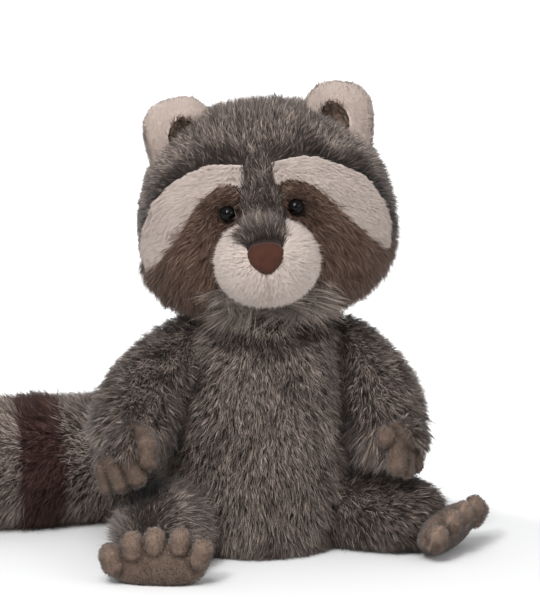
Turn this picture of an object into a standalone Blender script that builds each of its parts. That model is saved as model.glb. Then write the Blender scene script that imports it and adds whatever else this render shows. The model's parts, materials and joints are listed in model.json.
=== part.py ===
"""A sitting plush raccoon, about 0.28 m high: the sewn and stuffed forms under its pile.

Metres, +Z up. The raccoon faces -Y and its own left is +X. The origin lies on the flat
seat, under the middle of the head. Each surface is that of the flattened pile.
"""

import math

import bmesh
import bpy
import numpy as np
from mathutils import Matrix, Vector

# Seams and clearances
SEAM = 0.0003
FLOOR_BLOCK = 0.6

# Head: half its width, depth and height, and how boxy it is
HEAD_CENTRE = (-0.001, 0.0, 0.214)
HEAD_TILT = math.radians(-5.9)
HEAD_RADII = (0.080, 0.064, 0.0675)
HEAD_POWER = 2.35
CHEEK_FULLNESS = 0.11
PANEL_THICKNESS = 0.0035
HEAD_SEGMENTS = 26
HEAD_RINGS = 14

# Edges of the face panels on the left side, as degrees of longitude and latitude
BROW_UPPER = [(9.7, 33), (30, 32.5), (44, 26), (58, 17), (67, 6), (73.5, -6), (75, -20)]
BROW_LOWER = [(9.5, 22), (18, 23.5), (28.5, 18.5), (36.6, 9.3), (44, -1), (53, -11), (66, -19.5)]
MASK_UPPER = [(11, 24), (20, 27), (31, 22), (40, 12), (48, 1), (56, -9), (67, -17), (82, -17), (97, -17)]
MASK_LOWER = [(11, -12), (14, -17), (18, -22), (25, -31), (32, -42), (38, -55), (55, -60), (80, -55), (97, -42)]
CHIN_UPPER = [(-43, -52), (-37, -39), (-29, -27), (0, -20), (29, -27), (37, -39), (43, -52)]
CHIN_LOWER = [(-46, -66), (-32, -68), (-16, -69), (0, -69), (16, -69), (32, -68), (46, -66)]
# A wedge reaches from this share of the head's radius to that one.
WEDGE_INNER = 0.45
WEDGE_OUTER = 1.7
WEDGE_SAMPLES = 2

# Muzzle and nose, from the head's centre
MUZZLE_CENTRE = (0.0, -0.057, -0.0235)
MUZZLE_RADII = (0.0305, 0.034, 0.0258)
MUZZLE_POWER = 2.2
MUZZLE_SEGMENTS = 22
MUZZLE_RINGS = 12
NOSE_HEIGHT_ON_MUZZLE = 0.0060
NOSE_RADII = (0.0122, 0.0045, 0.0100)
NOSE_POWER = 2.8
NOSE_TAPER = 0.42
BRIDGE_TOP_WIDTH = 0.0340
BRIDGE_NOSE_WIDTH = 0.0220

# Eyes: a ball and shank in one, held by a washer behind the fabric
EYE_RADIUS = 0.0052
EYE_LONGITUDE = 18.7
EYE_LATITUDE = 7.2
EYE_STANDS_PROUD = 0.0018
SHANK_RADIUS = 0.0018
SHANK_LENGTH = 0.013
WASHER_RADIUS = 0.0062
WASHER_THICKNESS = 0.0018
WASHER_SEAT = 0.0016
POCKET_CLEARANCE = 0.0008

# Ears, from the head's centre; both are sewn on a little to the left of it
EAR_CENTRE = (0.0500, -0.005, 0.0475)
EAR_OFF_CENTRE = 0.0025
EAR_RADII = (0.0215, 0.0080, 0.0285)
EAR_POWER = 3.1
EAR_LEAN = math.radians(8)
EAR_DISH_RADII = (0.0110, 0.0070, 0.0145)
EAR_DISH_OFFSET = (-0.003, -0.0075, 0.0030)
EAR_DISH_POWER = 2.0
EAR_LINING_THICKNESS = 0.0018

# Torso sections: height, centre in x and y, half width, half depth
TORSO_SECTIONS = [
    (-0.008, -0.004, -0.009, 0.045, 0.051),
    (0.004, -0.004, -0.010, 0.056, 0.066),
    (0.034, -0.005, -0.010, 0.0615, 0.071),
    (0.070, -0.004, -0.009, 0.059, 0.065),
    (0.104, -0.001, -0.006, 0.054, 0.055),
    (0.134, 0.002, -0.003, 0.048, 0.047),
    (0.154, 0.001, 0.000, 0.038, 0.037),
    (0.166, 0.000, 0.000, 0.020, 0.020),
]

# Limbs: points along the middle, each with the radius there
ARM_RIGHT = [
    ((-0.038, 0.000, 0.126), 0.0210),
    ((-0.056, -0.010, 0.114), 0.0245),
    ((-0.074, -0.031, 0.100), 0.0255),
    ((-0.085, -0.055, 0.0865), 0.0240),
    ((-0.084, -0.074, 0.0770), 0.0190),
]
ARM_LEFT = [
    ((0.040, 0.002, 0.126), 0.0210),
    ((0.057, -0.006, 0.113), 0.0235),
    ((0.072, -0.020, 0.098), 0.0245),
    ((0.0795, -0.033, 0.0835), 0.0235),
    ((0.0780, -0.042, 0.0680), 0.0180),
]
LEG_RIGHT = [
    ((-0.046, -0.034, 0.0228), 0.0235),
    ((-0.059, -0.062, 0.0228), 0.0262),
    ((-0.066, -0.091, 0.0228), 0.0262),
    ((-0.067, -0.112, 0.0215), 0.0215),
]
LEG_LEFT = [
    ((0.034, -0.020, 0.0228), 0.0235),
    ((0.058, -0.030, 0.0228), 0.0262),
    ((0.083, -0.040, 0.0228), 0.0262),
    ((0.101, -0.046, 0.0215), 0.0215),
]
# How high a limb is for its width, and how its round ends close
ARM_ROUNDNESS = 1.0
LEG_ROUNDNESS = 0.90
LIMB_END_REACH = 0.45
LIMB_END_RADIUS = 0.55

# Hands: palm centre and radii, then each finger's root, tip and half width, thumb first
PALM_RADII = (0.0155, 0.0095, 0.0125)
PALM_POWER = 2.3
FINGER_FLATNESS = 0.72
FINGER_POWER = 2.5
FINGER_END = 0.6
HAND_FACING = (0.0, -1.0, 0.0)
HAND_RIGHT_PALM = (-0.0810, -0.0920, 0.0810)
HAND_RIGHT_FINGERS = [
    ((-0.0735, -0.0970, 0.0840), (-0.0720, -0.1020, 0.0690), 0.0070),
    ((-0.0865, -0.0985, 0.0765), (-0.0785, -0.1015, 0.0580), 0.0068),
    ((-0.0955, -0.0970, 0.0740), (-0.0885, -0.1000, 0.0540), 0.0066),
    ((-0.1010, -0.0940, 0.0680), (-0.0970, -0.0960, 0.0520), 0.0062),
]
HAND_LEFT_PALM = (0.0855, -0.0630, 0.0765)
HAND_LEFT_FINGERS = [
    ((0.0770, -0.0690, 0.0825), (0.0748, -0.0725, 0.0765), 0.0060),
    ((0.0830, -0.0700, 0.0720), (0.0830, -0.0740, 0.0595), 0.0070),
    ((0.0890, -0.0650, 0.0715), (0.0890, -0.0675, 0.0550), 0.0062),
    ((0.0945, -0.0595, 0.0720), (0.0948, -0.0605, 0.0565), 0.0060),
]

# Feet: middle of the sole pad, which way the sole faces and how far the toes lean that
# way, pad radii, and each toe as its place across and up the sole and its half width
FOOT_RIGHT = ((-0.0665, -0.127, 0.0165), (-0.12, -0.99, 0.0), 0.0)
FOOT_LEFT = ((0.1175, -0.0545, 0.0188), (0.88, -0.475, 0.0), math.radians(28))
PAD_RADII = (0.0310, 0.0100, 0.0145)
PAD_POWER = 2.4
PAD_DROP = 0.0035
TOE_DEPTH = 0.0075
TOE_HEIGHT = 0.0084
TOE_FORWARD = 0.0030
TOE_POWER = 2.3
TOES = [
    (-0.0262, 0.0000, 0.0074),
    (-0.0135, 0.0085, 0.0072),
    (0.0000, 0.0115, 0.0068),
    (0.0155, 0.0122, 0.0063),
    (0.0280, 0.0050, 0.0066),
]

# Tail: points along the middle in x and y, its radius, how far its weight flattens it
# on the floor, and where each band of the cover ends, as shares of the way along
TAIL_LINE = [
    (0.012, 0.008),
    (-0.012, 0.038),
    (-0.046, 0.057),
    (-0.086, 0.056),
    (-0.124, 0.042),
    (-0.160, 0.031),
    (-0.196, 0.024),
    (-0.236, 0.020),
]
TAIL_RADIUS = 0.0390
TAIL_FLATTENED = 0.0010
TAIL_ROOT_RADIUS = 0.0340
TAIL_TIP_ROUND = 0.030
TAIL_BANDS = [("tail_root", 0.640), ("tail_ring", 0.735), ("tail_middle", 0.850), ("tail_tip", 1.0)]
TAIL_GROWS_OVER = 0.060
TAIL_RING_SPACING = 0.022
TAIL_RING_POINTS = 18
TAIL_SAMPLES = 8
TAIL_DOME_ANGLES = (0, 30, 55, 75, 87)

# Points round each ring of the torso and limbs
RING_POINTS = 12

# Colours, and how rough each kind of surface is

GREY_PILE = (0.155, 0.130, 0.110)
BROWN_PILE = (0.105, 0.068, 0.050)
CREAM_PILE = (0.600, 0.520, 0.460)
DARK_PILE = (0.060, 0.045, 0.035)
SHORT_NAP = (0.170, 0.118, 0.088)
NOSE_VELOUR = (0.100, 0.032, 0.022)
BLACK_PLASTIC = (0.010, 0.009, 0.008)
WHITE_PLASTIC = (0.700, 0.700, 0.680)
FILLING_WHITE = (0.800, 0.790, 0.760)
FABRIC_ROUGHNESS = 0.95
EYE_ROUGHNESS = 0.08
WASHER_ROUGHNESS = 0.40

parts = None
cutters = None


def clear_scene():
    """Removes the objects that the scene starts with and makes the two collections."""
    global parts, cutters
    for obj in list(bpy.data.objects):
        bpy.data.objects.remove(obj, do_unlink=True)
    parts = bpy.data.collections.new("plush_raccoon")
    cutters = bpy.data.collections.new("cutters")
    for collection in (parts, cutters):
        bpy.context.scene.collection.children.link(collection)


def finish_material(name, colour, roughness):
    """A Principled material of one plain colour."""
    material = bpy.data.materials.new(name)
    material.use_nodes = True
    shader = material.node_tree.nodes["Principled BSDF"]
    shader.inputs["Base Color"].default_value = (*colour, 1.0)
    shader.inputs["Roughness"].default_value = roughness
    shader.inputs["Metallic"].default_value = 0.0
    return material


def add_part(name, mesh, colour, roughness=FABRIC_ROUGHNESS):
    """Puts a mesh into the model as a named sub-part with its own material."""
    obj = bpy.data.objects.new(name, mesh)
    mesh.materials.append(finish_material(name, colour, roughness))
    mesh.shade_smooth()
    parts.objects.link(obj)
    return obj


def add_cutter(name, mesh):
    """Puts a mesh among the hidden cutters."""
    obj = bpy.data.objects.new(name, mesh)
    obj.hide_render = True
    obj.display_type = "WIRE"
    cutters.objects.link(obj)
    return obj


def mesh_from(bm, name):
    """Ends a bmesh as a mesh whose faces point outwards."""
    bmesh.ops.recalc_face_normals(bm, faces=bm.faces)
    mesh = bpy.data.meshes.new(name)
    bm.to_mesh(mesh)
    bm.free()
    return mesh


def boolean(obj, cutter, operation="DIFFERENCE"):
    modifier = obj.modifiers.new(operation.lower(), "BOOLEAN")
    modifier.operation = operation
    modifier.object = cutter
    modifier.solver = "EXACT"
    return modifier


def evaluated_copy(obj):
    """The piece's mesh as it looks with its modifiers, in world coordinates."""
    bpy.context.view_layer.update()
    graph = bpy.context.evaluated_depsgraph_get()
    mesh = bpy.data.meshes.new_from_object(obj.evaluated_get(graph))
    mesh.transform(obj.matrix_world)
    return mesh


def clearance_cutter(obj, gap=SEAM):
    """A hidden copy of a piece, grown by the seam, that cuts a seat for it in a neighbour."""
    mesh = evaluated_copy(obj)
    bm = bmesh.new()
    bm.from_mesh(mesh)
    bmesh.ops.remove_doubles(bm, verts=bm.verts, dist=1e-6)
    bm.normal_update()
    shifts = [vert.normal * gap * min(vert.calc_shell_factor(), 2.0) for vert in bm.verts]
    for vert, shift in zip(bm.verts, shifts):
        vert.co += shift
    bm.to_mesh(mesh)
    bm.free()
    return add_cutter(obj.name + "_clearance", mesh)


def superellipsoid(radii, power, segments, rings):
    """A sphere whose points are drawn out to |x/a|^p + |y/b|^p + |z/c|^p = 1."""
    bm = bmesh.new()
    bmesh.ops.create_uvsphere(bm, u_segments=segments, v_segments=rings, radius=1.0)
    for vert in bm.verts:
        reach = sum(abs(value) ** power for value in vert.co) ** (-1.0 / power)
        vert.co = Vector(value * reach * radius for value, radius in zip(vert.co, radii))
    return bm


def head_shape(inset):
    """The head's form, pushed in by the inset, and fuller at the cheeks than at the crown."""
    radii = [radius - inset for radius in HEAD_RADII]
    bm = superellipsoid(radii, HEAD_POWER, HEAD_SEGMENTS, HEAD_RINGS)
    for vert in bm.verts:
        vert.co.x *= 1.0 - CHEEK_FULLNESS * vert.co.z / radii[2]
    return bm


def head_point(longitude, latitude):
    """The point of the head's surface in a direction from its centre."""
    turn, lift = math.radians(longitude), math.radians(latitude)
    way = Vector((math.sin(turn) * math.cos(lift), -math.cos(turn) * math.cos(lift), math.sin(lift)))
    reach = sum(abs(value / radius) ** HEAD_POWER for value, radius in zip(way, HEAD_RADII))
    point = way * reach ** (-1.0 / HEAD_POWER)
    point.x *= 1.0 - CHEEK_FULLNESS * point.z / HEAD_RADII[2]
    return point


def head_normal(longitude, latitude):
    """The way straight out of the head's surface at a point."""
    step = 0.5
    across = head_point(longitude + step, latitude) - head_point(longitude - step, latitude)
    lift = head_point(longitude, latitude + step) - head_point(longitude, latitude - step)
    return across.cross(lift).normalized()


def smooth_line(points, samples):
    """More points between the given ones, on the Catmull-Rom curve through them."""
    known = np.array(points, float)
    padded = np.vstack([2 * known[0] - known[1], known, 2 * known[-1] - known[-2]])
    line = []
    for i in range(1, len(padded) - 2):
        before, start, end, after = padded[i - 1 : i + 3]
        for share in np.arange(samples) / samples:
            line.append(
                0.5
                * (
                    2 * start
                    + (end - before) * share
                    + (2 * before - 5 * start + 4 * end - after) * share**2
                    + (3 * start - before - 3 * end + after) * share**3
                )
            )
    line.append(known[-1])
    return np.array(line)


def face_cutter(name, upper, lower, side):
    """A wedge from inside the head out past it, between two edges drawn on its surface."""
    edges = [smooth_line(edge, WEDGE_SAMPLES) for edge in (upper, lower)]
    bm = bmesh.new()
    layers = []
    for scale in (WEDGE_INNER, WEDGE_OUTER):
        layers.append(
            [[bm.verts.new(head_point(side * turn, lift) * scale) for turn, lift in edge] for edge in edges]
        )
    count = len(edges[0])
    for rows in layers:
        for i in range(count - 1):
            bm.faces.new((rows[0][i], rows[0][i + 1], rows[1][i + 1], rows[1][i]))
    for row in (0, 1):
        for i in range(count - 1):
            bm.faces.new((layers[0][row][i], layers[0][row][i + 1], layers[1][row][i + 1], layers[1][row][i]))
    for i in (0, count - 1):
        bm.faces.new((layers[0][0][i], layers[0][1][i], layers[1][1][i], layers[1][0][i]))
    return add_cutter(name, mesh_from(bm, name))


def ring_tube(name, centres, half_widths, half_heights, up):
    """A closed cage of rings around a line of centres, each ring square to the line."""
    bm = bmesh.new()
    centres = [Vector(centre) for centre in centres]
    # One round of subdivision draws each ring in by this much.
    drawn_in = (3 + math.cos(2 * math.pi / RING_POINTS)) / 4
    rings = []
    for i, centre in enumerate(centres):
        along = (centres[min(i + 1, len(centres) - 1)] - centres[max(i - 1, 0)]).normalized()
        side = along.cross(up).normalized()
        lift = side.cross(along)
        ring = []
        for k in range(RING_POINTS):
            angle = 2 * math.pi * k / RING_POINTS
            across = side * math.cos(angle) * half_widths[i] + lift * math.sin(angle) * half_heights[i]
            ring.append(bm.verts.new(centre + across / drawn_in))
        rings.append(ring)
    for before, after in zip(rings, rings[1:]):
        for k in range(RING_POINTS):
            turn = (k + 1) % RING_POINTS
            bm.faces.new((before[k], before[turn], after[turn], after[k]))
    bm.faces.new(rings[0])
    bm.faces.new(rings[-1])
    return mesh_from(bm, name)


def soften(obj):
    """One round of subdivision, which turns the cage of rings into a stuffed form."""
    modifier = obj.modifiers.new("subdivision", "SUBSURF")
    modifier.levels = 1
    modifier.render_levels = 1


def limb(name, stations, roundness, colour):
    """A stuffed limb: a tube through the stations with round ends."""
    line = np.array([(*centre, radius) for centre, radius in stations])
    first, last = line[0], line[-1]
    start_way = first[:3] - line[1][:3]
    start_way = start_way / np.linalg.norm(start_way)
    end_way = last[:3] - line[-2][:3]
    end_way = end_way / np.linalg.norm(end_way)
    start = [*(first[:3] + start_way * first[3] * LIMB_END_REACH), first[3] * LIMB_END_RADIUS]
    end = [*(last[:3] + end_way * last[3] * LIMB_END_REACH), last[3] * LIMB_END_RADIUS]
    line = np.vstack([start, line, end])
    mesh = ring_tube(name, line[:, :3], line[:, 3], line[:, 3] * roundness, Vector((0.0, 0.0, 1.0)))
    obj = add_part(name, mesh, colour)
    soften(obj)
    return obj


def make_floor_cutter():
    """A block under the floor, which leaves each piece that rests on it a flat face."""
    bm = bmesh.new()
    bmesh.ops.create_cube(bm, size=2 * FLOOR_BLOCK)
    bmesh.ops.translate(bm, verts=bm.verts, vec=(0.0, 0.0, -FLOOR_BLOCK))
    return add_cutter("floor_cutter", mesh_from(bm, "floor_cutter"))


def head_frame():
    """From the head's own axes to the model's: its tilt, then its place."""
    return Matrix.Translation(HEAD_CENTRE) @ Matrix.Rotation(HEAD_TILT, 4, "Y")


def make_head(pose):
    """The filling, and the cover's panels around it, cut from one shell."""
    filling_mesh = mesh_from(head_shape(PANEL_THICKNESS + SEAM), "head_filling")
    filling = add_part("head_filling", filling_mesh, FILLING_WHITE)
    outer = add_cutter("head_outer", mesh_from(head_shape(0.0), "head_outer"))
    inner = add_cutter("head_inner", mesh_from(head_shape(PANEL_THICKNESS), "head_inner"))
    edges = {
        "brow_left": (BROW_UPPER, BROW_LOWER, 1),
        "brow_right": (BROW_UPPER, BROW_LOWER, -1),
        "mask_left": (MASK_UPPER, MASK_LOWER, 1),
        "mask_right": (MASK_UPPER, MASK_LOWER, -1),
        "chin_panel": (CHIN_UPPER, CHIN_LOWER, 1),
    }
    colours = {"brow": CREAM_PILE, "mask": BROWN_PILE, "chin": GREY_PILE, "crown": GREY_PILE}
    wedges = {name: face_cutter(name + "_wedge", *edge) for name, edge in edges.items()}
    wide = {name: clearance_cutter(wedge) for name, wedge in wedges.items()}
    panels = {}
    for name in ["crown_panel", *edges]:
        mesh = mesh_from(head_shape(0.0), name)
        panel = add_part(name, mesh, colours[name.split("_")[0]])
        boolean(panel, inner)
        panels[name] = panel
    for name, wedge in wedges.items():
        boolean(panels[name], wedge, "INTERSECT")
        boolean(panels["crown_panel"], wide[name])
    for side in ("left", "right"):
        boolean(panels["mask_" + side], wide["brow_" + side])
        boolean(panels["mask_" + side], wide["chin_panel"])
    for obj in [filling, outer, inner, *wedges.values(), *wide.values(), *panels.values()]:
        obj.parent = pose
    return filling, outer, panels


def bridge_wedge(name, gap):
    """A block over the nose, narrower below, that parts the grey strip from the muzzle."""
    low = MUZZLE_CENTRE[2] + NOSE_HEIGHT_ON_MUZZLE + NOSE_RADII[2] / 2
    high = MUZZLE_CENTRE[2] + 2 * MUZZLE_RADII[2]
    near = MUZZLE_CENTRE[1] - 2 * MUZZLE_RADII[1]
    bm = bmesh.new()
    corners = []
    for depth in (near, 0.0):
        for width, height in ((BRIDGE_NOSE_WIDTH, low - gap), (BRIDGE_TOP_WIDTH, high)):
            for side in (-1, 1):
                corners.append(bm.verts.new((side * (width / 2 + gap), depth, height)))
    bmesh.ops.convex_hull(bm, input=corners)
    return add_cutter(name, mesh_from(bm, name))


def make_muzzle(pose, filling, panels):
    """The muzzle and the grey strip on it fill a hole between the panels, on the filling."""
    pieces = {}
    for name, colour in (("muzzle", CREAM_PILE), ("muzzle_bridge", GREY_PILE)):
        bm = superellipsoid(MUZZLE_RADII, MUZZLE_POWER, MUZZLE_SEGMENTS, MUZZLE_RINGS)
        bmesh.ops.translate(bm, verts=bm.verts, vec=MUZZLE_CENTRE)
        pieces[name] = add_part(name, mesh_from(bm, name), colour)
        pieces[name].parent = pose
    seat = clearance_cutter(pieces["muzzle"])
    for name in ("crown_panel", "mask_left", "mask_right", "chin_panel"):
        boolean(panels[name], seat)
    wedge = bridge_wedge("bridge_wedge", 0.0)
    wide = bridge_wedge("bridge_wedge_clearance", SEAM)
    filling_seat = clearance_cutter(filling)
    for obj in (wedge, wide):
        obj.parent = pose
    boolean(pieces["muzzle_bridge"], wedge, "INTERSECT")
    boolean(pieces["muzzle"], wide)
    for piece in pieces.values():
        boolean(piece, filling_seat)
    return seat


def make_nose(pose, muzzle_seat):
    """A padded triangle with round corners, wider above, on the front of the muzzle."""
    bm = superellipsoid(NOSE_RADII, NOSE_POWER, 16, 8)
    rise = NOSE_HEIGHT_ON_MUZZLE
    share = (rise / MUZZLE_RADII[2]) ** MUZZLE_POWER
    front = MUZZLE_CENTRE[1] - MUZZLE_RADII[1] * (1 - share) ** (1 / MUZZLE_POWER)
    for vert in bm.verts:
        vert.co.x *= 1.0 + NOSE_TAPER * min(vert.co.z / NOSE_RADII[2] - 0.5, 0.0)
        vert.co.y += (vert.co.x**2 + (vert.co.z + rise) ** 2) / (2 * MUZZLE_RADII[0])
    bmesh.ops.translate(bm, verts=bm.verts, vec=(0.0, front, MUZZLE_CENTRE[2] + rise))
    nose = add_part("nose", mesh_from(bm, "nose"), NOSE_VELOUR)
    nose.parent = pose
    boolean(nose, muzzle_seat)


def turned_disc(name, radius, hole, thickness):
    """A flat ring about Z, from a rectangle turned by a Screw modifier."""
    bm = bmesh.new()
    half = thickness / 2
    corners = [(hole, 0, half), (radius, 0, half), (radius, 0, -half), (hole, 0, -half)]
    verts = [bm.verts.new(corner) for corner in corners]
    for i in range(4):
        bm.edges.new((verts[i], verts[(i + 1) % 4]))
    mesh = bpy.data.meshes.new(name)
    bm.to_mesh(mesh)
    bm.free()
    obj = add_part(name, mesh, WHITE_PLASTIC, WASHER_ROUGHNESS)
    screw = obj.modifiers.new("screw", "SCREW")
    screw.steps = 14
    screw.render_steps = 14
    screw.merge_threshold = 0.0001
    screw.use_merge_vertices = True
    return obj


def cylinder_cutter(name, radius, low, high):
    bm = bmesh.new()
    bmesh.ops.create_cone(
        bm, cap_ends=True, segments=12, radius1=radius, radius2=radius, depth=high - low
    )
    bmesh.ops.translate(bm, verts=bm.verts, vec=(0.0, 0.0, (low + high) / 2))
    return add_cutter(name, mesh_from(bm, name))


def make_eye(pose, side, name, mask, filling):
    """Ball and shank, the washer on the shank, and the pocket that they need in the filling."""
    point = head_point(side * EYE_LONGITUDE, EYE_LATITUDE)
    way = head_normal(side * EYE_LONGITUDE, EYE_LATITUDE)
    centre = point + way * EYE_STANDS_PROUD
    place = Matrix.Translation(centre) @ way.to_track_quat("Z", "Y").to_matrix().to_4x4()
    bm = superellipsoid((EYE_RADIUS,) * 3, 2.0, 14, 8)
    ball = add_part("eye_" + name, mesh_from(bm, "eye_" + name), BLACK_PLASTIC, EYE_ROUGHNESS)
    shank = cylinder_cutter("shank_" + name, SHANK_RADIUS, -SHANK_LENGTH, 0.0)
    washer = turned_disc("eye_washer_" + name, WASHER_RADIUS, SHANK_RADIUS + SEAM, WASHER_THICKNESS)
    behind = max(EYE_STANDS_PROUD + PANEL_THICKNESS, EYE_RADIUS) + WASHER_SEAT
    seat = behind + WASHER_THICKNESS / 2
    pocket_end = -SHANK_LENGTH - POCKET_CLEARANCE
    pocket = cylinder_cutter("pocket_" + name, WASHER_RADIUS + POCKET_CLEARANCE, pocket_end, EYE_RADIUS)
    for obj in (ball, shank, pocket):
        obj.matrix_local = place
        obj.parent = pose
    washer.matrix_local = place @ Matrix.Translation((0.0, 0.0, -seat))
    washer.parent = pose
    boolean(ball, shank, "UNION")
    boolean(mask, clearance_cutter(ball))
    boolean(filling, pocket)


def make_ear(pose, side, name, head_outer):
    """A flat stuffed lobe with a dished front, and the dark lining of the dish."""
    lean = Matrix.Rotation(side * EAR_LEAN, 4, "Y")
    centre = (side * EAR_CENTRE[0] + EAR_OFF_CENTRE, EAR_CENTRE[1], EAR_CENTRE[2])
    place = Matrix.Translation(centre) @ lean
    bm = superellipsoid(EAR_RADII, EAR_POWER, 20, 10)
    ear = add_part("ear_" + name, mesh_from(bm, "ear_" + name), CREAM_PILE)
    shift = Vector((side * EAR_DISH_OFFSET[0], EAR_DISH_OFFSET[1], EAR_DISH_OFFSET[2]))
    dish_place = place @ Matrix.Translation(shift)
    dish_mesh = mesh_from(superellipsoid(EAR_DISH_RADII, EAR_DISH_POWER, 14, 8), "ear_dish_" + name)
    dish = add_cutter("ear_dish_" + name, dish_mesh)
    lining_radii = [radius - SEAM for radius in EAR_DISH_RADII]
    lining_mesh = mesh_from(superellipsoid(lining_radii, EAR_DISH_POWER, 14, 8), "ear_lining_" + name)
    lining = add_part("ear_lining_" + name, lining_mesh, DARK_PILE)
    hollow_mesh = mesh_from(superellipsoid(lining_radii, EAR_DISH_POWER, 16, 9), "ear_hollow_" + name)
    hollow = add_cutter("ear_hollow_" + name, hollow_mesh)
    ear.matrix_local = place
    dish.matrix_local = dish_place
    lining.matrix_local = dish_place
    hollow.matrix_local = dish_place @ Matrix.Translation((0.0, -EAR_LINING_THICKNESS, 0.0))
    for obj in (ear, dish, lining, hollow):
        obj.parent = pose
    boolean(ear, dish)
    boolean(lining, hollow)
    boolean(ear, head_outer)
    boolean(lining, head_outer)
    return ear, lining


def make_torso(head_outer, floor):
    """The stuffed body: oval sections, flat where it sits, dished where the head is sewn on."""
    sections = np.array(TORSO_SECTIONS)
    centres = [(x, y, z) for z, x, y, _, _ in sections]
    mesh = ring_tube("torso", centres, sections[:, 3], sections[:, 4], Vector((0.0, 1.0, 0.0)))
    torso = add_part("torso", mesh, GREY_PILE)
    soften(torso)
    boolean(torso, head_outer)
    boolean(torso, floor)
    return torso


def finger_form(root, tip, half_width):
    """A superellipsoid from the finger's root to past its tip, flattened towards the palm."""
    root, tip, facing = Vector(root), Vector(tip), Vector(HAND_FACING)
    along = (tip - root).normalized()
    thin = (facing - along * along.dot(facing)).normalized()
    across = along.cross(thin)
    half_length = (tip - root).length / 2 + half_width * FINGER_END
    bm = superellipsoid((half_width, half_width * FINGER_FLATNESS, half_length), FINGER_POWER, 8, 7)
    turn = Matrix((across, thin, along)).transposed().to_4x4()
    bm.transform(Matrix.Translation((root + tip) / 2) @ turn)
    return bm


def make_hand(name, palm, fingers, arm, leg):
    """Palm and fingers joined in one piece, with a seat for the arm's end."""
    bm = superellipsoid(PALM_RADII, PALM_POWER, 14, 8)
    bm.transform(Matrix.Translation(palm))
    hand = add_part(name, mesh_from(bm, name), SHORT_NAP)
    for i, (root, tip, half_width) in enumerate(fingers):
        finger = finger_form(root, tip, half_width)
        boolean(hand, add_cutter(f"{name}_finger_{i}", mesh_from(finger, name)), "UNION")
    boolean(hand, clearance_cutter(arm))
    boolean(hand, clearance_cutter(leg))
    return hand


def make_foot(name, middle, facing, lean, leg, floor):
    """Sole pad and five toes joined in one piece, with a seat for the leg's end."""
    front = Vector(facing).normalized()
    across = Vector((0.0, 0.0, 1.0)).cross(front)
    front = Matrix.Rotation(lean, 3, across) @ front
    up = front.cross(across)
    turn = Matrix((across, -front, up)).transposed().to_4x4()
    place = Matrix.Translation(middle) @ turn
    bm = superellipsoid(PAD_RADII, PAD_POWER, 16, 8)
    bm.transform(place @ Matrix.Translation((0.0, 0.0, -PAD_DROP)))
    foot = add_part(name, mesh_from(bm, name), SHORT_NAP)
    for i, (over, rise, half_width) in enumerate(TOES):
        toe = superellipsoid((half_width, TOE_DEPTH, TOE_HEIGHT), TOE_POWER, 8, 6)
        toe.transform(place @ Matrix.Translation((over, -TOE_FORWARD, rise)))
        boolean(foot, add_cutter(f"{name}_toe_{i}", mesh_from(toe, name)), "UNION")
    boolean(foot, clearance_cutter(leg))
    boolean(foot, floor)
    return foot


def tail_places(inset):
    """How far along the tail each ring lies, with one ring at each side of every seam."""
    height = TAIL_RADIUS - TAIL_FLATTENED
    line = smooth_line([(x, y, height) for x, y in TAIL_LINE], TAIL_SAMPLES)
    run = np.concatenate([[0.0], np.cumsum(np.linalg.norm(np.diff(line, axis=0), axis=1))])
    ends = [0.0] + [share * run[-1] for _, share in TAIL_BANDS]
    bands = []
    for start, end in zip(ends, ends[1:]):
        count = max(2, round((end - start) / TAIL_RING_SPACING)) + 1
        bands.append(np.linspace(start + SEAM / 2, end - SEAM / 2, count))
    # Closer rings round the tip, each where its circle meets the dome.
    whole = run[-1] - inset
    dome = whole - (TAIL_TIP_ROUND - inset) * (1 - np.sin(np.radians(TAIL_DOME_ANGLES)))
    bands[-1] = np.concatenate([bands[-1][bands[-1] < dome[0] - SEAM], dome])
    return line, run, bands


def tail_rings(places, line, run, inset):
    """Rings of points square to the tail's middle line."""
    centres = np.stack([np.interp(places, run, line[:, k]) for k in range(3)], axis=1)
    slopes = np.gradient(line, run, axis=0)
    along = np.stack([np.interp(places, run, slopes[:, k]) for k in range(3)], axis=1)
    along /= np.linalg.norm(along, axis=1, keepdims=True)
    side = np.cross(along, (0.0, 0.0, 1.0))
    side /= np.linalg.norm(side, axis=1, keepdims=True)
    lift = np.cross(side, along)
    grown = np.clip(places / TAIL_GROWS_OVER, 0, 1)
    radii = TAIL_ROOT_RADIUS + (TAIL_RADIUS - TAIL_ROOT_RADIUS) * grown - inset
    left = np.clip((run[-1] - inset - places) / (TAIL_TIP_ROUND - inset), 0, 1)
    radii *= np.sqrt(1 - (1 - left) ** 2)
    angles = 2 * np.pi * np.arange(TAIL_RING_POINTS) / TAIL_RING_POINTS
    across = np.cos(angles)[None, :, None] * side[:, None] + np.sin(angles)[None, :, None] * lift[:, None]
    return centres[:, None] + across * radii[:, None, None]


def loft(name, rings, closes):
    """Faces from each ring to the next, and back to the first or across both ends."""
    bm = bmesh.new()
    verts = [[bm.verts.new(point) for point in ring] for ring in rings]
    pairs = list(zip(verts, verts[1:] + verts[:1])) if closes else list(zip(verts, verts[1:]))
    for before, after in pairs:
        for k in range(len(before)):
            turn = (k + 1) % len(before)
            bm.faces.new((before[k], before[turn], after[turn], after[k]))
    if not closes:
        bm.faces.new(verts[0])
        bm.faces.new(verts[-1])
    return mesh_from(bm, name)


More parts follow.
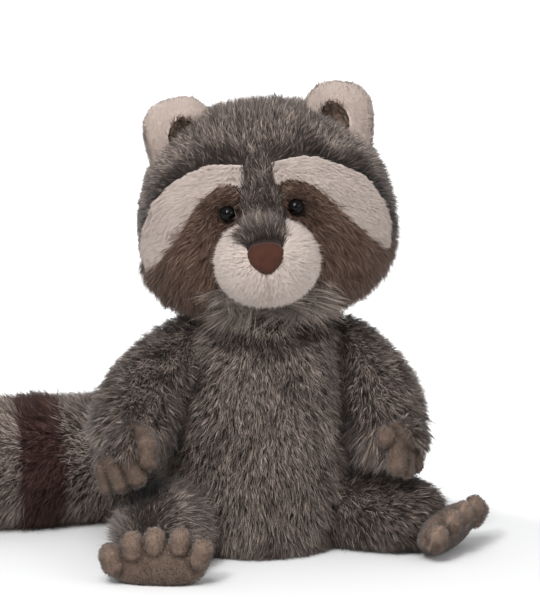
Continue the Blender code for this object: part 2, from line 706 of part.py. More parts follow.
def make_tail(torso_seat, floor):
    """Four sleeves of cover sewn end to end over one filling."""
    line, run, bands = tail_places(0.0)
    inner_bands = tail_places(PANEL_THICKNESS)[2]
    colours = {"tail_root": GREY_PILE, "tail_ring": BROWN_PILE, "tail_middle": GREY_PILE, "tail_tip": BROWN_PILE}
    sleeves = []
    for (name, share), outer, inner in zip(TAIL_BANDS, bands, inner_bands):
        outside = tail_rings(outer, line, run, 0.0)
        inside = tail_rings(inner, line, run, PANEL_THICKNESS)
        mesh = loft(name, [*inside[::-1], *outside], closes=share < 1.0)
        sleeve = add_part(name, mesh, colours[name])
        boolean(sleeve, floor)
        sleeves.append(sleeve)
    inset = PANEL_THICKNESS + SEAM
    places = np.concatenate(tail_places(inset)[2])
    rings = tail_rings(places, line, run, inset)
    filling = add_part("tail_filling", loft("tail_filling", rings, closes=False), FILLING_WHITE)
    boolean(sleeves[0], torso_seat)
    boolean(filling, torso_seat)


def main():
    clear_scene()
    floor = make_floor_cutter()
    pose = bpy.data.objects.new("head_pose", None)
    parts.objects.link(pose)
    pose.matrix_world = head_frame()
    bpy.context.view_layer.update()

    filling, outer, panels = make_head(pose)
    muzzle_seat = make_muzzle(pose, filling, panels)
    make_nose(pose, muzzle_seat)
    head_seat = clearance_cutter(outer)
    for side, name in ((1, "left"), (-1, "right")):
        make_eye(pose, side, name, panels["mask_" + name], filling)
        make_ear(pose, side, name, head_seat)

    torso = make_torso(head_seat, floor)
    torso_seat = clearance_cutter(torso)
    legs = {}
    for name, stations in (("left", LEG_LEFT), ("right", LEG_RIGHT)):
        legs[name] = limb("leg_" + name, stations, LEG_ROUNDNESS, GREY_PILE)
        boolean(legs[name], torso_seat)
        boolean(legs[name], floor)
    arms = {}
    for name, stations in (("left", ARM_LEFT), ("right", ARM_RIGHT)):
        arms[name] = limb("arm_" + name, stations, ARM_ROUNDNESS, GREY_PILE)
        boolean(arms[name], torso_seat)
        boolean(arms[name], head_seat)
        boolean(arms[name], clearance_cutter(legs[name]))

    make_hand("hand_right", HAND_RIGHT_PALM, HAND_RIGHT_FINGERS, arms["right"], legs["right"])
    make_hand("hand_left", HAND_LEFT_PALM, HAND_LEFT_FINGERS, arms["left"], legs["left"])
    make_foot("foot_right", *FOOT_RIGHT, legs["right"], floor)
    make_foot("foot_left", *FOOT_LEFT, legs["left"], floor)
    make_tail(torso_seat, floor)


main()
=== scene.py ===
# %% [markdown]
# A sitting plush raccoon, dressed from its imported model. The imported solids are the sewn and
# stuffed forms with their pile pressed flat. Here they become the backing cloth, and real
# strands of pile grow out of them, so that the outline is soft from every side. A texture of
# fur on a smooth form would be lighter, but its outline would stay hard.

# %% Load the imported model
import json
import math

import bpy
import numpy as np
from mathutils import Matrix, Vector
from mathutils.bvhtree import BVHTree
from mathutils.kdtree import KDTree


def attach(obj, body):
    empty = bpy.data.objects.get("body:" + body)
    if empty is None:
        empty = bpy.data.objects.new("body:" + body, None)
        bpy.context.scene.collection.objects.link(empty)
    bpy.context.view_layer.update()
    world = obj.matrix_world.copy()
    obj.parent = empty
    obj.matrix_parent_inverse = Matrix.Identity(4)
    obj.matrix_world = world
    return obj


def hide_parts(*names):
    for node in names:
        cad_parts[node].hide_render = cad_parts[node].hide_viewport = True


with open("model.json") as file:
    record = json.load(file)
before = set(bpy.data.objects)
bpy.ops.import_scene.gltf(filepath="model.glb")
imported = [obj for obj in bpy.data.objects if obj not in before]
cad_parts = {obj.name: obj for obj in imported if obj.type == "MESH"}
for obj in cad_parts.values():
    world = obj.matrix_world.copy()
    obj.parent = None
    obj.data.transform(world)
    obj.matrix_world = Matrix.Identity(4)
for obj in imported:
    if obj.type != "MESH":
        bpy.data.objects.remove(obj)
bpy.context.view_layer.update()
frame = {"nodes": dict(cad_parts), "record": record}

nodes = frame["nodes"]
scene = bpy.context.scene

# %% [markdown]
# The camera stands in front, ten degrees above the raccoon's middle. Its lens is long,
# because a short one would swell the feet, which are nearest, and shrink the ears.

# %% Camera
PIXEL = 0.00065
PICTURE_LONG_SIDE = 612
CAMERA_DISTANCE = 1.8
CAMERA_HEIGHT_ANGLE = math.radians(10)
CAMERA_TARGET = Vector((0.00325, 0.0, 0.15066))

camera_data = bpy.data.cameras.new("camera")
camera_data.sensor_width = 36.0
camera_data.lens = 36.0 * CAMERA_DISTANCE / (PICTURE_LONG_SIDE * PIXEL)
camera = bpy.data.objects.new("camera", camera_data)
scene.collection.objects.link(camera)
away = Vector((0.0, -math.cos(CAMERA_HEIGHT_ANGLE), math.sin(CAMERA_HEIGHT_ANGLE)))
camera.location = CAMERA_TARGET + away * CAMERA_DISTANCE
camera.rotation_euler = (-away).to_track_quat("-Z", "Y").to_euler()
scene.camera = camera
print("lens:", round(camera_data.lens, 1), "mm")

# %% [markdown]
# The room is a bright, even grey for the raccoon and white for the camera. One world could be
# both only if it were white, which would bleach the pile, so Is Camera Ray picks between two.

# %% Room
scene.view_settings.view_transform = "Standard"
world = bpy.data.worlds.new("studio")
scene.world = world
world.use_nodes = True
tree = world.node_tree
room = tree.nodes["Background"]
room.inputs["Color"].default_value = (0.98, 0.99, 1.0, 1.0)
room.inputs["Strength"].default_value = 0.62
backdrop = tree.nodes.new("ShaderNodeBackground")
backdrop.inputs["Color"].default_value = (1.0, 1.0, 1.0, 1.0)
backdrop.inputs["Strength"].default_value = 1.0
path = tree.nodes.new("ShaderNodeLightPath")
seen = tree.nodes.new("ShaderNodeMixShader")
tree.links.new(path.outputs["Is Camera Ray"], seen.inputs["Fac"])
tree.links.new(room.outputs["Background"], seen.inputs[1])
tree.links.new(backdrop.outputs["Background"], seen.inputs[2])
tree.links.new(seen.outputs["Shader"], tree.nodes["World Output"].inputs["Surface"])
print("room strength:", round(room.inputs["Strength"].default_value, 2))

# %% [markdown]
# Three square lamps: a large soft one high on the left in front, a weaker one on the right
# that opens the shadows, and a small one for the sparks in the eyes. A sun would be simpler,
# but its hard shadows would hide the pile's tufts.

# %% Lamps
LAMP_AIM = Vector((0.0, 0.0, 0.12))


def soft_lamp(name, place, size, watts):
    """A square lamp that looks at the raccoon's middle, LAMP_AIM."""
    data = bpy.data.lights.new(name, "AREA")
    data.size = size
    data.energy = watts
    lamp = bpy.data.objects.new(name, data)
    scene.collection.objects.link(lamp)
    lamp.location = place
    lamp.rotation_euler = (LAMP_AIM - lamp.location).to_track_quat("-Z", "Y").to_euler()


soft_lamp("key_lamp", Vector((-0.35, -1.25, 1.7)), 1.0, 24.6)
soft_lamp("fill_lamp", Vector((1.3, -1.1, 0.8)), 0.8, 5.0)
soft_lamp("spark_lamp", Vector((-0.45, -1.3, 1.1)), 0.24, 11.0)
print("lamps:", sorted(light.name for light in bpy.data.lights))

# %% [markdown]
# The floor is white paper, which keeps the raccoon's soft shadow. Its edge would show as a
# grey line, so away from the raccoon it gives off light, for the camera alone, until it is as
# white as the backdrop.

# %% Paper floor
SHADOW_REACH = 0.15
WHITE_REACH = 0.27

floor_mesh = bpy.data.meshes.new("floor")
floor_mesh.from_pydata([(-15, -6, 0), (15, -6, 0), (15, 24, 0), (-15, 24, 0)], [], [(0, 1, 2, 3)])
floor = bpy.data.objects.new("floor", floor_mesh)
scene.collection.objects.link(floor)
paper = bpy.data.materials.new("floor_paper")
paper.use_nodes = True
tree = paper.node_tree
shader = tree.nodes["Principled BSDF"]
shader.inputs["Base Color"].default_value = (0.78, 0.78, 0.78, 1.0)
shader.inputs["Roughness"].default_value = 1.0
shader.inputs["Specular IOR Level"].default_value = 0.0
shader.inputs["Emission Color"].default_value = (1.0, 1.0, 1.0, 1.0)
path = tree.nodes.new("ShaderNodeLightPath")
place = tree.nodes.new("ShaderNodeTexCoord")
squashed = tree.nodes.new("ShaderNodeVectorMath")
squashed.operation = "MULTIPLY_ADD"
squashed.inputs[1].default_value = (0.75, 1.3, 0.0)
squashed.inputs[2].default_value = (0.0, 0.06, 0.0)
tree.links.new(place.outputs["Object"], squashed.inputs[0])
reach = tree.nodes.new("ShaderNodeVectorMath")
reach.operation = "LENGTH"
tree.links.new(squashed.outputs["Vector"], reach.inputs[0])
fade = tree.nodes.new("ShaderNodeMapRange")
fade.interpolation_type = "SMOOTHSTEP"
fade.inputs["From Min"].default_value = SHADOW_REACH
fade.inputs["From Max"].default_value = WHITE_REACH
fade.inputs["To Min"].default_value = 0.0
fade.inputs["To Max"].default_value = 1.0
tree.links.new(reach.outputs["Value"], fade.inputs["Value"])
lift = tree.nodes.new("ShaderNodeMath")
lift.operation = "MULTIPLY"
tree.links.new(path.outputs["Is Camera Ray"], lift.inputs[0])
tree.links.new(fade.outputs["Result"], lift.inputs[1])
tree.links.new(lift.outputs[0], shader.inputs["Emission Strength"])
floor_mesh.materials.append(paper)
print("floor:", floor.name, "with", paper.name)

# %% [markdown]
# Every direction of the head's pile is easiest to say in the head's own axes, because the
# head is tilted about the front-to-back axis. The alternative is to tilt every number by
# hand.

# %% The head's own axes
HEAD_CENTRE = np.array([-0.001, 0.0, 0.214])
HEAD_TURN = np.array(Matrix.Rotation(math.radians(-5.9), 3, "Y"))


def in_head(points):
    """Places in the head's own axes: moved to its centre, then turned back by its tilt."""
    return (points - HEAD_CENTRE) @ HEAD_TURN


def from_head(ways):
    """Directions given in the head's axes, turned into the model's."""
    return ways @ HEAD_TURN.T


def unit(vectors):
    """Each row divided by its length."""
    return vectors / np.maximum(np.linalg.norm(vectors, axis=-1, keepdims=True), 1e-12)


print("head centre in its own axes:", in_head(HEAD_CENTRE).tolist())

# %% [markdown]
# Backing cloth. Where pile parts, the knitted backing behind it shows, dark under dark pile
# and pale under pale. A flat colour would look like paint between the strands, so two noises,
# one for the knit and one for patches, give it its colour and its bump.

# %% Worked material
def worked_material(name, low, high, grain, patch, roughness, bump, sheen=0.0):
    """Two colours mixed by a fine and a broad noise on Object coordinates, with bump from the fine one."""
    material = bpy.data.materials.new(name)
    material.use_nodes = True
    tree = material.node_tree
    shader = tree.nodes["Principled BSDF"]
    shader.inputs["Roughness"].default_value = roughness
    shader.inputs["Specular IOR Level"].default_value = 0.2
    shader.inputs["Sheen Weight"].default_value = sheen
    shader.inputs["Sheen Roughness"].default_value = 0.4
    place = tree.nodes.new("ShaderNodeTexCoord")
    fine = tree.nodes.new("ShaderNodeTexNoise")
    fine.inputs["Scale"].default_value = grain
    fine.inputs["Detail"].default_value = 3.0
    broad = tree.nodes.new("ShaderNodeTexNoise")
    broad.inputs["Scale"].default_value = patch
    for noise in (fine, broad):
        tree.links.new(place.outputs["Object"], noise.inputs["Vector"])
    both = tree.nodes.new("ShaderNodeMath")
    both.operation = "MULTIPLY_ADD"
    both.inputs[1].default_value = 0.6
    halved = tree.nodes.new("ShaderNodeMath")
    halved.operation = "MULTIPLY"
    halved.inputs[1].default_value = 0.4
    tree.links.new(broad.outputs["Fac"], halved.inputs[0])
    tree.links.new(fine.outputs["Fac"], both.inputs[0])
    tree.links.new(halved.outputs[0], both.inputs[2])
    spread = tree.nodes.new("ShaderNodeMapRange")
    spread.inputs["From Min"].default_value = 0.35
    spread.inputs["From Max"].default_value = 0.65
    tree.links.new(both.outputs[0], spread.inputs["Value"])
    mix = tree.nodes.new("ShaderNodeMix")
    mix.data_type = "RGBA"
    mix.inputs["A"].default_value = (*low, 1.0)
    mix.inputs["B"].default_value = (*high, 1.0)
    tree.links.new(spread.outputs["Result"], mix.inputs["Factor"])
    tree.links.new(mix.outputs["Result"], shader.inputs["Base Color"])
    raised = tree.nodes.new("ShaderNodeBump")
    raised.inputs["Strength"].default_value = bump
    raised.inputs["Distance"].default_value = 0.0004
    tree.links.new(fine.outputs["Fac"], raised.inputs["Height"])
    tree.links.new(raised.outputs["Normal"], shader.inputs["Normal"])
    return material

# %% [markdown]
# Each of the record's soft finishes gets its backing. The fibre of the fillings and the
# moulded plastic of the washers are made in the same way, with other grains.

# %% Dress the nodes
def knit(name, low, high):
    """Matt knitted backing in two colours, with stitches of about a millimetre."""
    return worked_material(name, low, high, grain=900.0, patch=60.0, roughness=0.95, bump=0.5)


BACKINGS = {
    "grey_pile": knit("grey_backing", (0.014, 0.010, 0.009), (0.040, 0.031, 0.027)),
    "brown_pile": knit("brown_backing", (0.014, 0.009, 0.007), (0.040, 0.026, 0.020)),
    "cream_pile": knit("cream_backing", (0.460, 0.370, 0.320), (0.620, 0.520, 0.460)),
    "dark_pile": knit("dark_backing", (0.040, 0.027, 0.020), (0.070, 0.048, 0.037)),
    "filling": worked_material(
        "filling_fibre", (0.700, 0.690, 0.660), (0.850, 0.840, 0.810), 500.0, 80.0, 0.95, 0.8
    ),
    "white_plastic": worked_material(
        "washer_plastic", (0.640, 0.640, 0.620), (0.720, 0.720, 0.700), 1400.0, 120.0, 0.45, 0.1
    ),
}
for entry in frame["record"]["subparts"]:
    material = BACKINGS.get(entry["material_slot"])
    if material is not None:
        nodes[entry["node"]].data.materials.clear()
        nodes[entry["node"]].data.materials.append(material)
print("backings:", sorted(BACKINGS))

# %% [markdown]
# The eyes, the nose, and the lobes of hands and feet are closed grids: rings of points
# between two poles. Blender's own sphere would have to be bent afterwards, while a grid takes
# its shape from a formula at once. Every new form is handed to the scene in the same way.

# %% Closed grids and new pieces
def ball_faces(rings, around):
    """Index rows for a closed grid: quads between rings, and a fan of triangles at each pole."""
    ring = np.arange(rings)[:, None] * around + np.arange(around)[None, :] + 1
    turned = np.roll(ring, -1, axis=1)
    quads = np.stack([ring[:-1], turned[:-1], turned[1:], ring[1:]], axis=2).reshape(-1, 4)
    low = np.stack([np.zeros(around, int), turned[0], ring[0]], axis=1)
    high = np.stack([np.full(around, rings * around + 1), ring[-1], turned[-1]], axis=1)
    return quads.tolist() + low.tolist() + high.tolist()


def new_piece(name, mesh, material, slot, *replaced):
    """An object at the origin that rides on the body and stands for its nodes."""
    mesh.materials.clear()
    mesh.materials.append(material)
    mesh.polygons.foreach_set("use_smooth", np.ones(len(mesh.polygons), bool))
    obj = bpy.data.objects.new(name, mesh)
    scene.collection.objects.link(obj)
    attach(obj, "root")
    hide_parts(*replaced)
    print(f"{name}: {len(mesh.polygons)} faces")
    return obj

# %% [markdown]
# The eyes are moulded in one: a ball and a shank. A profile turned about its axis gives both.
# The plastic is black, and clear enough that the lamps show on it as sharp spots.

# %% Eye plastic
eye_plastic = bpy.data.materials.new("eye_plastic")
eye_plastic.use_nodes = True
tree = eye_plastic.node_tree
shader = tree.nodes["Principled BSDF"]
shader.inputs["Roughness"].default_value = 0.05
shader.inputs["IOR"].default_value = 1.25
place = tree.nodes.new("ShaderNodeTexCoord")
cloud = tree.nodes.new("ShaderNodeTexNoise")
cloud.inputs["Scale"].default_value = 220.0
tree.links.new(place.outputs["Object"], cloud.inputs["Vector"])
dark = tree.nodes.new("ShaderNodeMix")
dark.data_type = "RGBA"
dark.inputs["A"].default_value = (0.0008, 0.0007, 0.0006, 1.0)
dark.inputs["B"].default_value = (0.0020, 0.0017, 0.0014, 1.0)
tree.links.new(cloud.outputs["Fac"], dark.inputs["Factor"])
tree.links.new(dark.outputs["Result"], shader.inputs["Base Color"])
print("eye plastic roughness:", round(shader.inputs["Roughness"].default_value, 2))

# %% Eyes
EYE_RADIUS = 0.0052
EYE_CENTRE = np.array([0.02114, -0.06436, 0.00846])
EYE_WAY = np.array([0.1374, -0.9886, 0.0622])
SHANK_RADIUS = 0.0018
SHANK_LENGTH = 0.013
EYE_SIDES = 48


def turned_profile(heights, radii, around):
    """Rings (r cos a, r sin a, h) at each height h and radius r, with a pole at both ends."""
    turn = np.linspace(0, 2 * np.pi, around, endpoint=False)
    circle = np.column_stack([np.cos(turn), np.sin(turn)])
    tall = np.broadcast_to(heights[:, None, None], (len(heights), around, 1))
    rings = np.concatenate([circle[None] * radii[:, None, None], tall], axis=2)
    poles = np.array([[0, 0, heights[0]], [0, 0, heights[-1]]])
    return np.concatenate([poles[:1], rings.reshape(-1, 3), poles[1:]]), len(heights)


bulge = np.radians(np.linspace(-68, 88, 30))
shank_heights = [-SHANK_LENGTH, -SHANK_LENGTH * 0.98, -EYE_RADIUS]
shank_radii = [SHANK_RADIUS * 0.5, SHANK_RADIUS, SHANK_RADIUS]
profile_heights = np.concatenate([shank_heights, np.sin(bulge) * EYE_RADIUS])
profile_radii = np.concatenate([shank_radii, np.cos(bulge) * EYE_RADIUS])
for side, sign in (("left", 1), ("right", -1)):
    turn = np.array(Vector(EYE_WAY * (sign, 1, 1)).to_track_quat("Z", "Y").to_matrix())
    points, rings = turned_profile(profile_heights, profile_radii, EYE_SIDES)
    points = points @ turn.T + EYE_CENTRE * (sign, 1, 1)
    points = from_head(points) + HEAD_CENTRE
    mesh = bpy.data.meshes.new("eye_ball_" + side)
    mesh.from_pydata(points.tolist(), [], ball_faces(rings, EYE_SIDES))
    new_piece("eye_ball_" + side, mesh, eye_plastic, "black_plastic", "eye_" + side)

# %% [markdown]
# The nose is a small pad in flat velour: a soft block, narrower below, bent round the muzzle.
# A flattened sphere would be too pointed at its sides. Velour shows almost no gloss, but it
# lights up at its edges, which is sheen.

# %% Nose
NOSE_RADII = (0.0118, 0.0047, 0.0096)
NOSE_CENTRE = (0.0, -0.0903, -0.0182)
MUZZLE_WIDTH = 0.0305
NOSE_GRID = (40, 72)


def rounded(radii, power, rings, around):
    """The sphere's directions drawn out to |x/a|^p + |y/b|^p + |z/c|^p = 1, from the low pole up."""
    height = np.linspace(-np.pi / 2, np.pi / 2, rings + 2)[:, None]
    turn = np.linspace(0, 2 * np.pi, around, endpoint=False)[None, :]
    level = np.cos(height)
    ways = np.stack([level * np.cos(turn), level * np.sin(turn), np.sin(height) + 0 * turn], axis=2)
    reach = (np.abs(ways) ** power).sum(axis=2, keepdims=True) ** (-1 / power)
    grid = ways * reach * np.array(radii)
    return np.concatenate([grid[0, :1], grid[1:-1].reshape(-1, 3), grid[-1, :1]])


nose_velour = worked_material(
    "nose_velour", (0.037, 0.0124, 0.0078), (0.060, 0.0215, 0.0133), 1500.0, 200.0, 0.9, 0.7, 0.12
)
points = rounded(NOSE_RADII, 2.6, *NOSE_GRID)
low = np.clip(0.25 - points[:, 2] / NOSE_RADII[2], 0, 1.25)
points[:, 0] *= 1 - 0.40 * low**1.4
points[:, 1] += (points[:, 0] ** 2 + (points[:, 2] + 0.006) ** 2) / (2 * MUZZLE_WIDTH)
points = from_head(points + np.array(NOSE_CENTRE)) + HEAD_CENTRE
mesh = bpy.data.meshes.new("nose_pad")
mesh.from_pydata(points.tolist(), [], ball_faces(*NOSE_GRID))
nose_pad = new_piece("nose_pad", mesh, nose_velour, "nose_velour", "nose")

# %% [markdown]
# Hands and feet are short-nap cloth. Painted highlights make it paler on ridges and at the seams, and
# painted shade makes it dark in creases. Lamps alone would not show that on so matt a cloth, so the
# material mixes its browns by how much of that painted light each point of the mesh gets.

# %% Nap material
NAP_DARK = (0.080, 0.055, 0.042)
NAP_LIGHT = (0.130, 0.092, 0.072)


def nap_material(name, painted_light_scale):
    """Brown nap with painted shade in creases and painted highlights on ridges and seams, from an attribute,
    broken up by two noises, and scaled as a whole by a factor of painted light or shade.
    """
    low, high = (tuple(painted_light_scale * part for part in colour) for colour in (NAP_DARK, NAP_LIGHT))
    material = worked_material(name, low, high, 1100.0, 170.0, 0.95, 0.9, 0.25)
    tree = material.node_tree
    shader = tree.nodes["Principled BSDF"]
    base = shader.inputs["Base Color"].links[0].from_socket
    # Painted shade in creases and painted highlights on ridges and seams, read from the mesh's attribute.
    shade_and_highlight = tree.nodes.new("ShaderNodeAttribute")
    shade_and_highlight.attribute_name = "shade_and_highlight"
    scale = tree.nodes.new("ShaderNodeValToRGB")
    scale.color_ramp.elements[0].color = (0.22, 0.20, 0.19, 1.0)
    scale.color_ramp.elements[1].color = (2.3, 2.3, 2.3, 1.0)
    middle = scale.color_ramp.elements.new(0.45)
    middle.color = (0.95, 0.94, 0.93, 1.0)
    product = tree.nodes.new("ShaderNodeMix")
    product.data_type = "RGBA"
    product.blend_type = "MULTIPLY"
    product.inputs["Factor"].default_value = 1.0
    tree.links.new(shade_and_highlight.outputs["Fac"], scale.inputs["Fac"])
    tree.links.new(base, product.inputs["A"])
    tree.links.new(scale.outputs["Color"], product.inputs["B"])
    tree.links.new(product.outputs["Result"], shader.inputs["Base Color"])
    return material


# Hands and feet are one cloth: the hands' copy is scaled darker than the feet's, as painted shade.
SHADED_HAND_NAP = nap_material("shaded_hand_nap", 0.75)
FOOT_NAP = nap_material("foot_nap", 1.05)
print("naps:", SHADED_HAND_NAP.name, FOOT_NAP.name)

# %% [markdown]
# A stuffed finger or toe is a lobe, with rings carried along a slightly bent line and round
# at both ends. A stretched ball would bulge in its middle, while a sewn finger keeps its
# width.

# %% Lobes
LOBE_GRID = (22, 28)
PALM_GRID = (24, 36)


def lobe(root, tip, bend, half_width, flatness, facing):
    """A stuffed finger: rings along a bent line, round at both ends and flatter towards its face.

    At a share t of the line of length L, the radius is R sqrt(1 - (1 - c)^2) with c = min(t, 1 - t) L / R,
    at most 1. Also gives the two seam lines along its sides.
    """
    rings, around = LOBE_GRID
    root, tip, facing = (np.array(v, float) for v in (root, tip, facing))
    axis = unit(tip - root)
    thin = unit(facing - axis * axis.dot(facing))
    across = np.cross(thin, axis)
    start, end = root - axis * half_width * 0.6, tip + axis * half_width * 0.6
    share = (1 - np.cos(np.linspace(0, np.pi, rings + 2))) / 2
    line = start + (end - start) * share[:, None] + np.array(bend) * (share * (1 - share) * 4)[:, None]
    cap = np.minimum(share, 1 - share) * np.linalg.norm(end - start) / half_width
    radius = half_width * np.sqrt(1 - (1 - np.clip(cap, 0, 1)) ** 2)
    turn = np.linspace(0, 2 * np.pi, around, endpoint=False)
    circle = np.cos(turn)[:, None] * across + np.sin(turn)[:, None] * thin * flatness
    grid = line[:, None] + circle[None] * radius[:, None, None]
    seam = np.concatenate([line + across * radius[:, None], line - across * radius[:, None]])
    return np.concatenate([grid[0, :1], grid[1:-1].reshape(-1, 3), grid[-1, :1]]), seam


LOBE_FACES = ball_faces(*LOBE_GRID)
PALM_FACES = ball_faces(*PALM_GRID)
print("faces of a lobe and of a palm:", len(LOBE_FACES), len(PALM_FACES))

# %% [markdown]
# The lobes are joined by a voxel remesh and smoothed, which leaves the soft creases of sewn,
# stuffed fingers. A boolean would leave them sharp.

# %% Join lobes into one skin
NAP_VOXEL = 0.0009


def one_skin(name, forms):
    """One mesh from several closed grids, joined by a voxel remesh and smoothed."""
    mesh = bpy.data.meshes.new(name + "_lobes")
    starts = np.cumsum([0] + [len(points) for points, _ in forms])
    faces = []
    for (_, form_faces), start in zip(forms, starts):
        faces += [[int(start) + k for k in face] for face in form_faces]
    mesh.from_pydata(np.concatenate([points for points, _ in forms]).tolist(), [], faces)
    rough = bpy.data.objects.new(name + "_lobes", mesh)
    scene.collection.objects.link(rough)
    remesh = rough.modifiers.new("remesh", "REMESH")
    remesh.mode = "VOXEL"
    remesh.voxel_size = NAP_VOXEL
    smooth = rough.modifiers.new("smooth", "SMOOTH")
    smooth.factor = 0.5
    smooth.iterations = 3
    graph = bpy.context.evaluated_depsgraph_get()
    done = bpy.data.meshes.new_from_object(rough.evaluated_get(graph))
    bpy.data.objects.remove(rough)
    done.name = name
    return done

# %% [markdown]
# Each point then keeps its painted light: a painted highlight where it stands out from its neighbours
# and near a seam, where it also rises, and painted shade in a crease. Painting that by hand would not
# follow the fingers.

# %% Painted crease shade and seam highlights
FLOOR_CLEAR = 0.0004
SEAM_WIDTH = 0.0011
SEAM_RISE = 0.00030
RIDGE_HEIGHT = 0.0011


def read_rows(rows, field, width, kind=np.float32):
    """A field of a mesh's points, edges or triangles as an array, one row each."""
    values = np.empty(len(rows) * width, kind)
    rows.foreach_get(field, values)
    return values.reshape(-1, width)


def nearest(points, places):
    """For each place, which of the points is nearest, and how far away it is."""
    finder = KDTree(len(points))
    for k, point in enumerate(points.tolist()):
        finder.insert(point, k)
    finder.balance()
    found = [finder.find(place) for place in places.tolist()]
    return np.array([index for _, index, _ in found]), np.array([distance for _, _, distance in found])


def mean_around(values, edges):
    """The mean of each point's neighbours along the edges."""
    total = np.zeros_like(values)
    count = np.zeros(len(values))
    for a, b in ((0, 1), (1, 0)):
        np.add.at(total, edges[:, a], values[edges[:, b]])
        np.add.at(count, edges[:, a], 1)
    return total / count.reshape(-1, *[1] * (values.ndim - 1))


def paint_light_and_raise_seams(mesh, seams):
    """Sets each point's painted light, from 0 for painted shade in a crease to 1 for a painted highlight on a
    ridge or a seam, and raises the seams.

    A point's ridge is how far it stands out, along its normal, from the mean of the points around it.
    A seam counts by exp(-(d / w)^2), with d the distance from it and w its width.
    """
    points = read_rows(mesh.vertices, "co", 3)
    edges = read_rows(mesh.edges, "vertices", 2, np.int32)
    normals = read_rows(mesh.vertices, "normal", 3)
    spread = points
    for _ in range(7):
        spread = mean_around(spread, edges)
    ridge = mean_around(mean_around(np.sum((points - spread) * normals, axis=1), edges), edges)
    _, away_from_seam = nearest(np.concatenate(seams), points)
    at_seam = np.exp(-((away_from_seam / SEAM_WIDTH) ** 2))
    # Painted light: shade in creases, highlights on ridges and near seams.
    shade_and_highlight = np.clip(0.44 + ridge / RIDGE_HEIGHT + 0.42 * at_seam, 0, 1)
    points += normals * (SEAM_RISE * at_seam)[:, None]
    points[:, 2] = np.maximum(points[:, 2], FLOOR_CLEAR)
    mesh.vertices.foreach_set("co", points.ravel())
    layer = mesh.attributes.new("shade_and_highlight", "FLOAT", "POINT")
    layer.data.foreach_set("value", shade_and_highlight.astype(np.float32))
    mesh.update()
    return mesh

# %% [markdown]
# Each hand is a flattened palm and four fingers, which hang down in front of the arm. Each
# finger is given by its root, its tip and half its width.

# %% Hands
PALM_RADII = (0.0155, 0.0095, 0.0125)
HANDS = {
    "hand_right": (
        (-0.0810, -0.0920, 0.0810),
        [
            ((-0.0735, -0.0970, 0.0840), (-0.0720, -0.1020, 0.0690), 0.0070),
            ((-0.0865, -0.0985, 0.0765), (-0.0785, -0.1015, 0.0580), 0.0068),
            ((-0.0955, -0.0970, 0.0740), (-0.0885, -0.1000, 0.0540), 0.0066),
            ((-0.1010, -0.0940, 0.0680), (-0.0970, -0.0960, 0.0520), 0.0062),
        ],
    ),
    "hand_left": (
        (0.0855, -0.0630, 0.0765),
        [
            ((0.0770, -0.0690, 0.0825), (0.0748, -0.0725, 0.0765), 0.0060),
            ((0.0832, -0.0655, 0.0780), (0.0828, -0.0745, 0.0590), 0.0068),
            ((0.0900, -0.0625, 0.0760), (0.0897, -0.0680, 0.0550), 0.0054),
            ((0.0952, -0.0580, 0.0750), (0.0955, -0.0605, 0.0565), 0.0052),
        ],
    ),
}
FRONT = (0.0, -1.0, 0.0)
for name, (palm, fingers) in HANDS.items():
    forms = [(rounded(PALM_RADII, 2.2, *PALM_GRID) * 0.92 + np.array(palm), PALM_FACES)]
    seams = []
    for root, tip, half_width in fingers:
        points, seam = lobe(root, tip, (0.0, -0.0016, 0.0), half_width * 0.93, 0.95, FRONT)
        forms.append((points, LOBE_FACES))
        seams.append(seam)
    skin = paint_light_and_raise_seams(one_skin("napped_" + name, forms), seams)
    hand = new_piece("napped_" + name, skin, SHADED_HAND_NAP, "short_nap", name)

# %% [markdown]
# Each foot is a flat sole that stands up, with five toes along its top. The toes are given in
# the sole's own axes, across, up, half width and splay, so both feet share them.

# %% Feet
FEET = {
    "foot_right": ((-0.0665, -0.127, 0.0165), (-0.12, -0.99, 0.0), 0.0),
    "foot_left": ((0.1175, -0.0545, 0.0188), (0.88, -0.475, 0.0), math.radians(28)),
}
SOLE_RADII = (0.0310, 0.0100, 0.0145)
SOLE_DROP = 0.0035
TOES = [
    (-0.0262, 0.0000, 0.0074, -0.0030),
    (-0.0135, 0.0085, 0.0072, -0.0012),
    (0.0000, 0.0115, 0.0068, 0.0),
    (0.0155, 0.0122, 0.0063, 0.0008),
    (0.0280, 0.0050, 0.0066, 0.0030),
]
for name, (middle, facing, lean) in FEET.items():
    front = Vector(facing).normalized()
    across = Vector((0.0, 0.0, 1.0)).cross(front)
    front = Matrix.Rotation(lean, 3, across) @ front
    turn = np.array([across, -front, front.cross(across)])
    sole = rounded(SOLE_RADII, 2.4, *PALM_GRID) + np.array([0, 0, -SOLE_DROP])
    forms = [(sole @ turn + np.array(middle), PALM_FACES)]
    angles = np.linspace(0, 2 * np.pi, 120, endpoint=False)
    rim = np.column_stack(
        [np.cos(angles) * SOLE_RADII[0], 0 * angles, np.sin(angles) * SOLE_RADII[2] - SOLE_DROP]
    )
    seams = [(rim @ turn + np.array(middle))[angles > np.pi]]
    for over, rise, half_width, splay in TOES:
        root = np.array([over - splay * 0.6, -0.0046, rise - 0.0068]) @ turn + np.array(middle)
        tip = np.array([over + splay * 0.8, -0.0040, rise + 0.0042]) @ turn + np.array(middle)
        points, seam = lobe(root, tip, np.array(front) * 0.0008, half_width * 0.95, 1.0, front)
        forms.append((points, LOBE_FACES))
        seams.append(seam)
    skin = paint_light_and_raise_seams(one_skin("napped_" + name, forms), seams)
    foot = new_piece("napped_" + name, skin, FOOT_NAP, "short_nap", name)

# %% [markdown]
# The skins that pile grows on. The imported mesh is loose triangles, so a merged copy gives
# smooth normals. Hands and feet are read from their finer forms. All solids together go into
# one search tree, which tells where a strand would meet something.

# %% Read the surfaces
NAPPED = ("hand_left", "hand_right", "foot_left", "foot_right")


